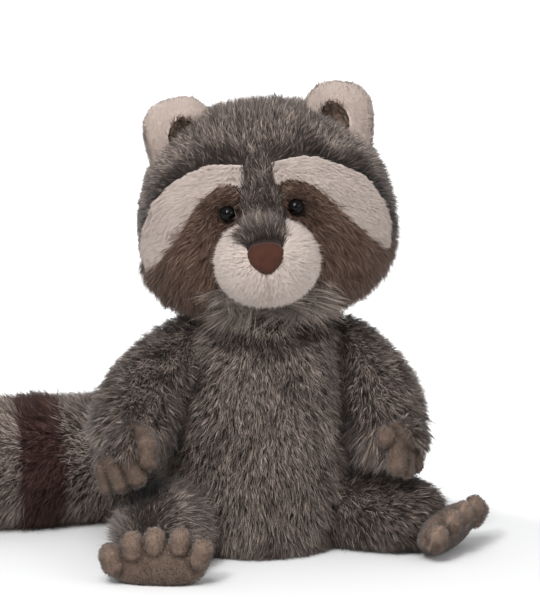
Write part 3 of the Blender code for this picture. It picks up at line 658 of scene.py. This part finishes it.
def read_surface(obj):
    """Merged points and triangles of an object, as arrays."""
    mesh = obj.data
    points = read_rows(mesh.vertices, "co", 3)
    mesh.calc_loop_triangles()
    faces = read_rows(mesh.loop_triangles, "vertices", 3, np.int32)
    points, index = np.unique(np.round(points, 6), axis=0, return_inverse=True)
    faces = index.reshape(-1)[faces]
    whole = (faces[:, 0] != faces[:, 1]) & (faces[:, 1] != faces[:, 2]) & (faces[:, 0] != faces[:, 2])
    return points.astype(float), faces[whole]


solids = {
    name: read_surface(bpy.data.objects["napped_" + name] if name in NAPPED else nodes[name])
    for name in nodes
}
starts = np.cumsum([0] + [len(points) for points, _ in solids.values()])
every_point = np.concatenate([points for points, _ in solids.values()])
every_face = np.concatenate([faces + start for (_, faces), start in zip(solids.values(), starts)])
solid_tree = BVHTree.FromPolygons(every_point.tolist(), every_face.tolist())
print("surfaces read:", len(solids), "with", len(every_face), "faces")

# %% [markdown]
# Pile grows only where a surface can be seen, and not on seam walls or inside the head. So a
# node's faces are kept where a point just above them is in no solid. Roots are then spread on
# them at random, even by area, because rows would show through the pile.

# %% Find where pile grows
CLEAR_ABOVE = 0.0018


def buried(points):
    """True where a point lies inside some solid: it is behind the nearest face."""
    found = np.zeros(len(points), bool)
    for i, point in enumerate(points.tolist()):
        place, normal, _, _ = solid_tree.find_nearest(point)
        found[i] = (Vector(point) - place).dot(normal) < 0
    return found


def backing(name, clear):
    """A node's seen faces: points, triangles, flat normals, areas, and smooth normals at points."""
    points, faces = solids[name]
    corners = points[faces]
    cross = np.cross(corners[:, 1] - corners[:, 0], corners[:, 2] - corners[:, 0])
    area = np.linalg.norm(cross, axis=1) / 2
    good = area > 1e-12
    faces, corners, cross, area = faces[good], corners[good], cross[good], area[good]
    flat = unit(cross)
    kept = ~buried(corners.mean(axis=1) + flat * clear)
    faces, flat, area, cross = faces[kept], flat[kept], area[kept], cross[kept]
    smooth = np.zeros_like(points)
    for k in range(3):
        np.add.at(smooth, faces[:, k], cross)
    return {"points": points, "faces": faces, "flat": flat, "area": area, "smooth": unit(smooth)}


def scatter(skin, per_mm2, rng):
    """Random places on the faces, even by area, with the smooth and the flat normal there."""
    count = int(skin["area"].sum() * 1e6 * per_mm2)
    picked = rng.choice(len(skin["area"]), count, p=skin["area"] / skin["area"].sum())
    share = rng.random((count, 2))
    over = share.sum(axis=1) > 1
    share[over] = 1 - share[over]
    weights = np.column_stack([1 - share.sum(axis=1), share])
    corners = skin["faces"][picked]
    places = np.einsum("ik,ikj->ij", weights, skin["points"][corners])
    normals = unit(np.einsum("ik,ikj->ij", weights, skin["smooth"][corners]))
    return places, normals, skin["flat"][picked]


print("crown faces that show:", len(backing("crown_panel", CLEAR_ABOVE)["faces"]))

# %% [markdown]
# Colour of the pile. Each strand carries its own map: across the map goes how light the
# strand is, and up the map goes from its root to its tip. The material reads only that map,
# so every strand is dark at its root, and its tip takes a colour from a row of swatches. A
# material for each tone would need dozens of them. The lamps must light both sides of a
# strand alike, or the turned ones would look like dark hairs, so a normal that Cycles turned
# over on a back side is turned again.

# %% Pile material
TONES = 64


def pile_material(name, root, swatches, root_reach, sheen):
    """Root colour below, and above it the swatch for the strand's tone. Both sides are lit alike."""
    material = bpy.data.materials.new(name)
    material.use_nodes = True
    tree = material.node_tree
    shader = tree.nodes["Principled BSDF"]
    shader.inputs["Roughness"].default_value = 0.85
    shader.inputs["Specular IOR Level"].default_value = 0.15
    shader.inputs["Sheen Weight"].default_value = sheen
    shader.inputs["Sheen Roughness"].default_value = 0.5
    map_node = tree.nodes.new("ShaderNodeUVMap")
    map_node.uv_map = "OFBake"
    apart = tree.nodes.new("ShaderNodeSeparateXYZ")
    tree.links.new(map_node.outputs["UV"], apart.inputs["Vector"])
    tone = tree.nodes.new("ShaderNodeValToRGB")
    ramp = tone.color_ramp
    while len(ramp.elements) < len(swatches):
        ramp.elements.new(0.5)
    for element, (place, colour) in zip(ramp.elements, swatches):
        element.position = place
        element.color = (*colour, 1.0)
    tree.links.new(apart.outputs["X"], tone.inputs["Fac"])
    rise = tree.nodes.new("ShaderNodeMapRange")
    rise.interpolation_type = "SMOOTHSTEP"
    rise.inputs["From Min"].default_value = 0.0
    rise.inputs["From Max"].default_value = root_reach
    tree.links.new(apart.outputs["Y"], rise.inputs["Value"])
    mix = tree.nodes.new("ShaderNodeMix")
    mix.data_type = "RGBA"
    mix.inputs["A"].default_value = (*root, 1.0)
    tree.links.new(rise.outputs["Result"], mix.inputs["Factor"])
    tree.links.new(tone.outputs["Color"], mix.inputs["B"])
    tree.links.new(mix.outputs["Result"], shader.inputs["Base Color"])
    surface = tree.nodes.new("ShaderNodeNewGeometry")
    sign = tree.nodes.new("ShaderNodeMath")
    sign.operation = "MULTIPLY_ADD"
    sign.inputs[1].default_value = -2.0
    sign.inputs[2].default_value = 1.0
    tree.links.new(surface.outputs["Backfacing"], sign.inputs[0])
    outward = tree.nodes.new("ShaderNodeVectorMath")
    outward.operation = "SCALE"
    tree.links.new(surface.outputs["Normal"], outward.inputs[0])
    tree.links.new(sign.outputs[0], outward.inputs["Scale"])
    tree.links.new(outward.outputs["Vector"], shader.inputs["Normal"])
    return material

# %% [markdown]
# The swatches of each pile, from its darkest fibre to its lightest. The ring's brown is
# redder and darker than the mask's.

# %% Palettes
GREY = pile_material(
    "grey_pile",
    (0.018, 0.013, 0.011),
    [
        (0.0, (0.020, 0.015, 0.013)),
        (0.35, (0.132, 0.101, 0.088)),
        (0.70, (0.325, 0.258, 0.222)),
        (1.0, (0.640, 0.530, 0.455)),
    ],
    0.92,
    0.12,
)
BROWN = pile_material(
    "brown_pile",
    (0.020, 0.012, 0.009),
    [
        (0.0, (0.026, 0.014, 0.010)),
        (0.4, (0.094, 0.054, 0.038)),
        (0.75, (0.170, 0.106, 0.078)),
        (1.0, (0.290, 0.198, 0.152)),
    ],
    0.7,
    0.12,
)
RING_BROWN = pile_material(
    "ring_brown_pile",
    (0.011, 0.005, 0.004),
    [
        (0.0, (0.014, 0.006, 0.005)),
        (0.4, (0.046, 0.021, 0.017)),
        (0.75, (0.088, 0.045, 0.037)),
        (1.0, (0.160, 0.095, 0.078)),
    ],
    0.7,
    0.10,
)
CREAM = pile_material(
    "cream_pile",
    (0.420, 0.340, 0.300),
    [(0.0, (0.430, 0.350, 0.308)), (0.5, (0.600, 0.505, 0.452)), (1.0, (0.760, 0.670, 0.610))],
    0.5,
    0.12,
)
LINING = pile_material(
    "dark_pile",
    (0.030, 0.019, 0.014),
    [(0.0, (0.070, 0.043, 0.030)), (0.5, (0.180, 0.122, 0.090)), (1.0, (0.370, 0.280, 0.220))],
    0.6,
    0.1,
)
print("pile materials:", [m.name for m in (GREY, BROWN, RING_BROWN, CREAM, LINING)])

# %% [markdown]
# A strand is a kite of two triangles, a lock of a few fibres: its root, two sides half way
# up, and its tip. Blender's own hair would be finer, but it doesn't leave with the model. The
# kites of a piece are one mesh, made from whole arrays, with their shading turned outwards.

# %% Kites
stats = {}


def kites(name, corners, maps, shading, material):
    """Two triangles from each row of four corners: root, right, left, then right, tip, left."""
    count = len(corners)
    first = np.arange(count)[:, None] * 4
    faces = (first + np.array([[0, 2, 1, 1, 2, 3]])).reshape(-1, 3)
    mesh = bpy.data.meshes.new(name)
    mesh.vertices.add(count * 4)
    mesh.vertices.foreach_set("co", corners.astype(np.float32).ravel())
    mesh.loops.add(len(faces) * 3)
    mesh.loops.foreach_set("vertex_index", faces.astype(np.int32).ravel())
    mesh.polygons.add(len(faces))
    mesh.polygons.foreach_set("loop_start", np.arange(len(faces), dtype=np.int32) * 3)
    mesh.update(calc_edges=True)
    layer = mesh.uv_layers.new(name="OFBake")
    layer.data.foreach_set("uv", maps.reshape(-1, 2)[faces.ravel()].astype(np.float32).ravel())
    mesh.polygons.foreach_set("use_smooth", np.ones(len(faces), bool))
    mesh.normals_split_custom_set_from_vertices(np.repeat(shading, 4, axis=0).tolist())
    mesh.materials.append(material)
    obj = bpy.data.objects.new(name, mesh)
    scene.collection.objects.link(obj)
    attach(obj, "root")
    stats[name] = len(faces)
    print(f"{name}: {count} strands")
    return obj

# %% [markdown]
# How a strand finds its way: the comb's direction wanders a little from place to place, as
# pile does where it was handled, and a strand stops where it meets a solid.

# %% Ways and lengths
STEP_OFF = 0.0009  # a ray starts this far off its own surface


def waver(points, size, seed):
    """A smooth wandering direction: six sines of the place, summed, with waves near the size."""
    rng = np.random.default_rng(seed)
    turns = rng.normal(0, 2 * math.pi / size, (6, 3))
    phases = rng.uniform(0, 2 * math.pi, (6, 3))
    angles = (points @ turns.T)[:, :, None]
    waves = np.sin(angles) * np.cos(phases) + np.cos(angles) * np.sin(phases)
    return waves.sum(axis=1) / 6**0.5


def free_length(roots, ways, lengths):
    """How far each strand gets before it meets a solid."""
    free = np.array(lengths)
    starts = (roots + ways * STEP_OFF).tolist()
    for i, (start, way, length) in enumerate(zip(starts, ways.tolist(), lengths.tolist())):
        _, _, _, distance = solid_tree.ray_cast(start, way, length)
        if distance is not None:
            free[i] = distance + STEP_OFF
    return free

# %% [markdown]
# Nearby strands lean to one tip and make tufts, and each tuft has its own bend and its own
# tone, as in pile that has been brushed and handled. Strands that each went their own way
# would look like a doormat.

# %% Grow the pile
SINK = 0.0006  # how deep a root sits in the backing
LENGTH_SPREAD = (0.62, 1.10)
LONG_SHARE = 0.10  # of the strands, which get LONG_FACTOR times as long
LONG_FACTOR = 1.45
LEAST_SHARE = 0.45  # of its length, or the strand is left out
WIDEST_AT = 0.52  # of the way from root to tip


def grow(name, node, material, slot, comb, per_mm2, length, lift, width, seed, tone=None,
         wander=0.35, sway=0.30, jitter=0.26, tuft=0.0012, pull=0.30, droop=0.12,
         tones=(0.10, 0.24), roll=1.0, clear=CLEAR_ABOVE, keep=None, back=0.5):
    """Pile on one node: each way is the comb laid on the surface, plus lift times the normal.

    The comb wanders slowly from place to place, sways from tuft to tuft, and jitters from strand
    to strand. A strand ends where it meets a solid, and is left out if that is too soon.
    """
    rng = np.random.default_rng(seed)
    roots, normals, flats = scatter(backing(node, clear), per_mm2, rng)
    if keep is not None:
        chosen = keep(roots, normals)
        roots, normals, flats = roots[chosen], normals[chosen], flats[chosen]
    # Behind, fewer and wider strands cover the backing as well.
    behind = np.clip(normals[:, 1] * 3.0 - 0.6, 0.0, 1.0)
    share = 1 - behind * (1 - back)
    chosen = rng.random(len(roots)) < share
    chosen[chosen] = ~buried((roots + flats * clear)[chosen])
    roots, normals, share = roots[chosen], normals[chosen], share[chosen]
    leaders = rng.choice(len(roots), max(8, int(len(roots) / per_mm2 / (tuft * 1e3) ** 2)), replace=False)
    leader = leaders[nearest(roots[leaders], roots)[0]]
    combed = unit(comb(roots, normals)) + waver(roots, 0.030, seed) * wander
    combed -= normals * np.sum(combed * normals, axis=1, keepdims=True)
    swayed = rng.normal(0, sway, roots.shape)[leader]
    ways = unit(unit(combed) + normals * lift + swayed + rng.normal(0, jitter, roots.shape))
    lengths = (length(roots) if callable(length) else length) * rng.uniform(*LENGTH_SPREAD, len(roots))
    lengths *= np.where(rng.random(len(roots)) < LONG_SHARE, LONG_FACTOR, 1.0)
    free = free_length(roots, ways, lengths)
    reached = free > lengths * LEAST_SHARE
    lengths = np.where(reached, np.minimum(lengths, free), 0.0)
    middles = roots + ways * lengths[:, None] * WIDEST_AT
    fall = unit(combed) * 0.8 + np.array([0.0, 0.0, -0.6])
    tips = roots + ways * lengths[:, None] + fall * lengths[:, None] * droop
    # The others lean to the tuft's leader, where that one stands.
    shorter = np.clip(lengths / np.maximum(lengths[leader], 1e-6), 0, 1)
    leaning = (pull * reached[leader] * shorter)[:, None]
    tips += (tips[leader] - tips) * leaning
    middles += (middles[leader] - middles) * leaning * 0.45
    # How light each strand is: its place, its tuft and its own chance.
    tuft_tone = rng.normal(0, tones[0], len(roots))[leader]
    base = tone(roots, normals) if tone is not None else 0.5
    light = np.clip(base + tuft_tone + rng.normal(0, tones[1], len(roots)), 0.0, 0.999)
    # Kites, turned about their own way by chance so that some face every side.
    side = unit(np.cross(ways, normals))
    rise = np.cross(side, ways)
    angle = rng.uniform(-roll, roll, len(roots))[:, None]
    side = side * np.cos(angle) + rise * np.sin(angle)
    half = (width * rng.uniform(0.7, 1.3, len(roots)) / share / 2)[:, None]
    corners = np.stack([roots - normals * SINK, middles - side * half, middles + side * half, tips], axis=1)
    corners[:, :, 2] = np.maximum(corners[:, :, 2], FLOOR_CLEAR)
    column = (np.floor(light * TONES) + 0.5) / TONES
    spread = 0.35 / TONES
    maps = np.stack([column, column - spread, column + spread, column], axis=1)
    up = np.broadcast_to([0.02, 0.5, 0.5, 0.98], maps.shape)
    shading = unit(normals * 0.75 + np.cross(side, ways) * 0.25 + ways * 0.35)
    maps = np.stack([maps, up], axis=2)
    return kites(name, corners[reached], maps[reached], shading[reached], material)

# %% [markdown]
# The grey pile is mottled: patches of it are darker or lighter, and it has painted shade where the arms
# lie against the torso. That shade is in the tones, because strands are too few to make it.

# %% Grey pile
GREY_LENGTH = 0.0090
GREY_WIDTH = 0.00033
ARM_SHADE_LINES = [((-0.040, 0.116), (-0.062, 0.064)), ((0.050, 0.126), (0.060, 0.050))]
ARM_SHADE_WIDTH = 0.0065


def arm_shade(roots):
    """Painted shade: a bell curve of the distance from the lines in front where the arms lie against the torso.
    """
    near = np.zeros(len(roots))
    for high, low in ARM_SHADE_LINES:
        high, low = np.array(high), np.array(low)
        along = low - high
        share = np.clip(((roots[:, (0, 2)] - high) @ along) / along.dot(along), 0, 1)
        gap = np.linalg.norm(roots[:, (0, 2)] - high - share[:, None] * along, axis=1)
        near = np.maximum(near, np.exp(-((gap / ARM_SHADE_WIDTH) ** 2)) * (roots[:, 1] < 0.0))
    return near


def grey_tone(roots, normals):
    """A middle grey, plus slow waves for patches, less painted shade where the arms lie against the torso."""
    return 0.48 + 0.09 * waver(roots, 0.03, 5)[:, 0] - 0.42 * arm_shade(roots)

# %% [markdown]
# The torso's pile falls down the body. The chin's ruff lies over it and shades it below.

# %% Torso pile
RUFF_EDGE = 0.142
RUFF_SHADOW = 0.006


def falling(roots, normals):
    """Down, and away from the middle by four times the distance from it in metres."""
    return np.column_stack([roots[:, 0] * 4.0, np.full(len(roots), -0.1), np.full(len(roots), -1.0)])


def torso_tone(roots, normals):
    """Light as the chin's ruff where that lies on the chest, and dark in its shadow just below."""
    over = roots[:, 2] - (RUFF_EDGE + 8.0 * roots[:, 0] ** 2)
    front = (roots[:, 1] < 0.0) * (np.abs(roots[:, 0]) < 0.055)
    shadow = np.exp(-(((over + RUFF_SHADOW) / RUFF_SHADOW) ** 2)) * (over < 0)
    return grey_tone(roots, normals) + front * (0.20 * (over > 0) - 0.30 * shadow)


grow("pile_torso", "torso", GREY, "grey_pile", falling, per_mm2=1.80, length=GREY_LENGTH, lift=1.0,
     width=GREY_WIDTH, seed=11, tone=torso_tone)

# %% [markdown]
# The arms point forward, and their pile spreads outwards and down, not forward along them.

# %% Arm pile
LIMB_LENGTH = 0.0098


def towards(way):
    """A comb in one direction everywhere."""
    return lambda roots, normals: np.tile(np.array(way, float), (len(roots), 1))


def arm_tone(roots, normals):
    """Slightly darker than the body."""
    return grey_tone(roots, normals) - 0.09


for side, sign, seed in (("left", 1, 12), ("right", -1, 13)):
    grow("pile_arm_" + side, "arm_" + side, GREY, "grey_pile", towards((sign * 0.45, -0.15, -1.0)),
         per_mm2=2.0, length=LIMB_LENGTH, lift=1.1, width=GREY_WIDTH, seed=seed, tone=arm_tone, sway=0.4)

# %% [markdown]
# The legs' pile spreads the same way. On the right leg it parts on top, behind the toes,
# where it bares its dark roots.

# %% Leg pile
def shaded_tone(roots, normals):
    """Darker than the body, as painted shade."""
    return grey_tone(roots, normals) - 0.18


def from_parting(roots, normals):
    """Over the right leg: sideways by the distance from the parting, and up, less so away from it."""
    over = (roots[:, 0] + 0.0735) / 0.012
    return np.column_stack([over, np.full(len(roots), -0.1), 0.9 - 0.25 * np.abs(over)])


def parting(roots):
    """Where the right leg's pile parts: a bell curve across it, from 0 low down to 1 on its top."""
    wide = np.exp(-(((roots[:, 0] + 0.0735) / 0.0080) ** 2))
    return wide * np.clip((roots[:, 2] - 0.024) / 0.008, 0, 1) * (roots[:, 1] < -0.045)


def leg_length(roots):
    """Shorter where the pile parts, and longer on the outside."""
    outside = np.clip((-0.080 - roots[:, 0]) / 0.01, 0, 1)
    return LIMB_LENGTH * (1 - 0.3 * parting(roots) + 0.25 * outside)


def leg_tone(roots, normals):
    """As the rest, but dark where the right leg's pile parts behind the toes."""
    return grey_tone(roots, normals) - 0.03 - 0.60 * parting(roots)


grow("pile_leg_left", "leg_left", GREY, "grey_pile", towards((0.8, -0.2, -0.5)), per_mm2=2.0,
     length=LIMB_LENGTH * 0.9, lift=1.1, width=GREY_WIDTH, seed=14, tone=shaded_tone)
grow("pile_leg_right", "leg_right", GREY, "grey_pile", from_parting, per_mm2=2.1,
     length=leg_length, lift=1.0, width=GREY_WIDTH, seed=15, tone=leg_tone, sway=0.45, jitter=0.32)

# %% [markdown]
# The arms' pile also hangs over the hands like a cuff, and below them. Longer pile on the
# whole arm would hide the fingers, so the cuffs are pieces of their own, and so is the pile
# round each wrist.

# %% Cuffs and wrists
def below(height):
    """Keeps the roots below a height."""
    return lambda roots, normals: roots[:, 2] < height


def at_right_wrist(roots, normals):
    """Keeps the roots high on the right palm and on its outside."""
    return (roots[:, 2] > 0.0755) & (roots[:, 0] < -0.0800)


def at_left_wrist(roots, normals):
    """Keeps the roots on the left palm's outer upper corner."""
    return roots[:, 0] * 1.2 + roots[:, 2] > 0.1895


grow("pile_cuff_left", "arm_left", GREY, "grey_pile", towards((-0.35, -0.1, -1.0)), per_mm2=2.4,
     length=0.017, lift=0.5, width=0.0004, seed=16, tone=grey_tone, keep=below(0.084))
grow("pile_cuff_right", "arm_right", GREY, "grey_pile", towards((-0.35, -0.2, -1.0)), per_mm2=1.4,
     length=0.013, lift=0.6, width=0.0004, seed=17, tone=grey_tone, keep=below(0.090))
grow("pile_wrist_right", "hand_right", GREY, "grey_pile", towards((-0.30, -0.1, -1.0)), per_mm2=3.6,
     length=0.0092, lift=0.5, width=0.00036, seed=18, tone=shaded_tone, keep=at_right_wrist, clear=0.0008)
grow("pile_wrist_left", "hand_left", GREY, "grey_pile", towards((0.6, -0.1, -1.0)), per_mm2=3.6,
     length=0.0072, lift=0.5, width=0.00036, seed=19, tone=shaded_tone, keep=at_left_wrist, clear=0.0008)

# %% [markdown]
# The crown's pile runs up from the bridge of the nose and back over the head, which bares its
# dark roots along the brows. Its tones are darker in a band there, for the bared roots and as painted
# shade. Combing it forward would hide the brows' upper edges.

# %% Crown pile
def over_crown(roots, normals):
    """A quarter turn on from the place as seen from the side: up the forehead, down the nape."""
    at = in_head(roots)
    wide = np.abs(at[:, 0]) / 0.08
    ways = np.column_stack([at[:, 0] * 5.0, at[:, 2] / 0.06 + wide * 1.3, -at[:, 1] / 0.06 - wide**2 * 0.9])
    return from_head(ways)


def crown_length(roots):
    """Shorter at the temple that the right brow reaches, and round the ears."""
    at = in_head(roots)
    temple = np.clip((-at[:, 0] - 0.045) / 0.02, 0, 1) * np.clip((0.045 - at[:, 2]) / 0.02, 0, 1)
    ears = np.clip((np.abs(at[:, 0]) - 0.030) / 0.012, 0, 1) * np.clip((at[:, 2] - 0.030) / 0.012, 0, 1)
    return 0.0092 * (1 - 0.55 * temple - 0.40 * ears)


def crown_tone(roots, normals):
    """Darker in a band along the brows' top edge, given by its height at each turn, for bared roots and as
    painted shade, and lighter by the ears.
    """
    at = in_head(roots)
    turn = np.degrees(np.arctan2(np.abs(at[:, 0]), -at[:, 1]))
    height = np.degrees(np.arctan2(at[:, 2], np.hypot(at[:, 0], at[:, 1])))
    brow = np.interp(turn, [0, 9.7, 30, 44, 58, 67, 73.5, 90], [30, 33, 32.5, 26, 17, 6, -6, -25])
    band = np.exp(-(((height - brow - 3.0) / 4.5) ** 2)) * (turn > 6) * (turn < 80)
    ears = np.clip((np.abs(at[:, 0]) - 0.035) / 0.02, 0, 1) * np.clip((at[:, 2] - 0.025) / 0.015, 0, 1)
    strip = (turn < 14) * (height < 34) * (at[:, 1] < 0)
    return grey_tone(roots, normals) - 0.34 * band + 0.20 * ears - 0.16 * strip - 0.11


grow("pile_crown", "crown_panel", GREY, "grey_pile", over_crown, per_mm2=1.9, length=crown_length,
     lift=0.8, width=GREY_WIDTH, seed=21, tone=crown_tone)

# %% [markdown]
# The ruff hangs from under the muzzle, longer and lighter than the body's pile, and in
# thicker tufts.

# %% Chin pile
def hanging(roots, normals):
    """Down and forward, clear of the chest, and sideways by eight times the distance from the middle."""
    at = in_head(roots)
    return from_head(np.column_stack([at[:, 0] * 8.0, np.full(len(at), -0.9), np.full(len(at), -1.0)]))


def ruff_length(roots):
    """Longest low on the chin, and shorter to the sides."""
    at = in_head(roots)
    sides = np.clip((np.abs(at[:, 0]) - 0.020) / 0.014, 0, 1)
    return (0.0160 + 0.0120 * np.clip((-0.028 - at[:, 2]) / 0.02, 0, 1)) * (1 - 0.45 * sides)


def under_muzzle(roots, normals):
    """Leaves out the chin panel's upper corners, whose pile would stand out like whiskers."""
    at = in_head(roots)
    return (np.abs(at[:, 0]) < 0.026) | (at[:, 2] < -0.034)


def ruff_tone(roots, normals):
    """Lighter than the body."""
    return grey_tone(roots, normals) + 0.30


grow("pile_chin", "chin_panel", GREY, "grey_pile", hanging, per_mm2=4.2, length=ruff_length, lift=0.35,
     width=GREY_WIDTH, seed=22, tone=ruff_tone, clear=0.0012, jitter=0.14, sway=0.22, pull=0.45,
     tuft=0.0018, keep=under_muzzle)

# %% [markdown]
# A strip of grey pile comes down between the eyes and stands up in a soft wedge above the
# nose, dark at its lower end.

# %% Bridge pile
NOSE_PLACE = np.array([0.0, -0.091, -0.0175])


def up_bridge(roots, normals):
    """Up and outwards from the top of the nose."""
    at = in_head(roots) - NOSE_PLACE
    return from_head(np.column_stack([at[:, 0] * 20.0, np.full(len(at), 0.3), np.full(len(at), 1.0)]))


def bridge_tone(roots, normals):
    """A little darker than the body, and dark just above the nose."""
    at = in_head(roots)
    return grey_tone(roots, normals) - 0.08 - 0.30 * np.clip((0.000 - at[:, 2]) / 0.008, 0, 1)


grow("pile_bridge", "muzzle_bridge", GREY, "grey_pile", up_bridge, per_mm2=6.0, length=0.0118, lift=0.75,
     width=GREY_WIDTH, seed=23, tone=bridge_tone)

# %% [markdown]
# The mask is combed out and down from the bridge. It is short beside the eyes and long on the
# cheeks, so that the eyes stay free.

# %% Mask pile
def mask_length(roots):
    """Short beside the bridge and the brows, long on the cheeks."""
    at = in_head(roots)
    return 0.0068 + 0.0042 * np.clip((0.010 - at[:, 2]) / 0.03, 0, 1)


def off_bridge(roots, normals):
    """Outwards from the bridge, and turning down in step with the height, along the cheek."""
    at = in_head(roots)
    low = np.clip((0.018 - at[:, 2]) / 0.07, 0, 1)
    ways = np.column_stack([np.sign(at[:, 0]) * (1.0 - 0.6 * low), 0.25 + 0 * low, -0.25 - 1.1 * low])
    return from_head(ways)


def mask_tone(roots, normals):
    """Darker round each eye, for its darker fur and as painted shade, by a bell curve of the distance from it,
    and waving slowly elsewhere.
    """
    at = in_head(roots)
    near = np.exp(-(((np.abs(at[:, 0]) - 0.020) / 0.011) ** 2) - ((at[:, 2] - 0.0085) / 0.011) ** 2)
    return 0.50 + 0.06 * waver(roots, 0.03, 6)[:, 0] - 0.42 * near


for side, seed in (("left", 24), ("right", 25)):
    grow("pile_mask_" + side, "mask_" + side, BROWN, "brown_pile", off_bridge, per_mm2=3.2,
         length=mask_length, lift=0.7, width=0.00034, seed=seed, tone=mask_tone, pull=0.3)

# %% [markdown]
# Brows, ears and muzzle are a short, dense cream plush that stands nearly upright. It is
# calmer than the long pile: less sway, small differences of tone.

# %% Cream pile
CREAM_WIDTH = 0.00038
PLUSH = {
    "tuft": 0.0014, "pull": 0.2, "sway": 0.14, "jitter": 0.20, "wander": 0.3, "tones": (0.03, 0.09), "roll": 0.7
}


def even_tone(tone):
    """The same lightness everywhere."""
    return lambda roots, normals: np.full(len(roots), tone)


def brow_comb(roots, normals):
    """Along the brow, outwards and down."""
    at = in_head(roots)
    return from_head(np.column_stack([np.sign(at[:, 0]), np.zeros(len(at)), np.full(len(at), -0.8)]))


for side, seed in (("left", 34), ("right", 35)):
    grow("pile_brow_" + side, "brow_" + side, CREAM, "cream_pile", brow_comb, per_mm2=6.2, length=0.0044,
         lift=1.3, width=CREAM_WIDTH, seed=seed, tone=even_tone(0.36), **PLUSH)

# %% [markdown]
# The ears' cream is darker than the brows'. Their linings are a short dark pile that stands
# up out of the fold.

# %% Ear pile
for side, seed in (("left", 44), ("right", 45)):
    grow("pile_ear_" + side, "ear_" + side, CREAM, "cream_pile", towards((0.0, -0.1, 1.0)), per_mm2=5.2,
         length=0.0034, lift=1.5, width=CREAM_WIDTH, seed=seed, tone=even_tone(0.06), **PLUSH)
for side, seed in (("left", 54), ("right", 55)):
    grow("pile_ear_lining_" + side, "ear_lining_" + side, LINING, "dark_pile", towards((0.0, -0.3, 1.0)),
         per_mm2=6.0, length=0.0060, lift=0.7, width=0.0004, seed=seed)

# %% [markdown]
# The muzzle's pile runs away from the nose on all sides, with a faint parting below it.

# %% Muzzle pile
def off_nose(roots, normals):
    """Away from the nose, all round the muzzle."""
    return from_head(in_head(roots) - NOSE_PLACE)


def muzzle_tone(roots, normals):
    """A faint parting below the nose."""
    at = in_head(roots)
    groove = np.exp(-((at[:, 0] / 0.0016) ** 2)) * (at[:, 2] < -0.024) * (at[:, 2] > -0.044)
    return 0.55 - 0.35 * groove


grow("pile_muzzle", "muzzle", CREAM, "cream_pile", off_nose, per_mm2=5.8, length=0.0050, lift=1.1,
     width=CREAM_WIDTH, seed=29, tone=muzzle_tone, **PLUSH)

# %% [markdown]
# The tail has the same long pile, in bands of grey and brown, combed to the tip. Each band is
# a sleeve of its own, as it is sewn, so the colours meet at a seam.

# %% Tail pile
TAIL_LENGTH = 0.0118


def to_tip(roots, normals):
    """Along the tail: backwards at its root, then to the raccoon's right."""
    ways = np.zeros_like(roots)
    ways[:, 0] = -1.0
    ways[:, 1] = np.clip((roots[:, 0] + 0.04) * 20, 0, 1.5)
    ways[:, 2] = -0.15
    return ways


def tail_tone(roots, normals):
    """Lighter than the body."""
    return grey_tone(roots, normals) + 0.06


grow("pile_tail_root", "tail_root", GREY, "grey_pile", to_tip, per_mm2=1.3, length=TAIL_LENGTH, lift=1.3,
     width=0.0004, seed=41, tone=tail_tone)
grow("pile_tail_ring", "tail_ring", RING_BROWN, "brown_pile", to_tip, per_mm2=2.4, length=0.0135, lift=1.4,
     width=0.00036, seed=42, sway=0.5)
grow("pile_tail_middle", "tail_middle", GREY, "grey_pile", to_tip, per_mm2=1.9, length=TAIL_LENGTH, lift=1.3,
     width=0.00036, seed=43, tone=tail_tone)
grow("pile_tail_tip", "tail_tip", RING_BROWN, "brown_pile", to_tip, per_mm2=1.6, length=TAIL_LENGTH, lift=1.3,
     width=0.0004, seed=44)

# %% [markdown]
# The nap of hands and feet is so short that it shows mostly at their edges, as a fine fuzz.

# %% Nap
NAP_PILE = pile_material(
    "nap_pile",
    NAP_DARK,
    [(0.0, (0.050, 0.033, 0.025)), (0.5, (0.125, 0.086, 0.066)), (1.0, (0.280, 0.212, 0.172))],
    0.6,
    0.2,
)
# The hands' nap has lower tones than the feet's, as painted shade, the right hand's lowest.
for name, tone in (("hand_left", 0.38), ("hand_right", 0.34), ("foot_left", 0.52), ("foot_right", 0.52)):
    grow("nap_" + name, name, NAP_PILE, "short_nap", towards((0.0, -0.1, 1.0)), per_mm2=2.0, length=0.0016,
         lift=1.6, width=0.00034, seed=50, tone=even_tone(tone), wander=0.6, clear=0.0008)
print("triangles of pile:", sum(stats.values()), "most in one piece:", max(stats.values()))
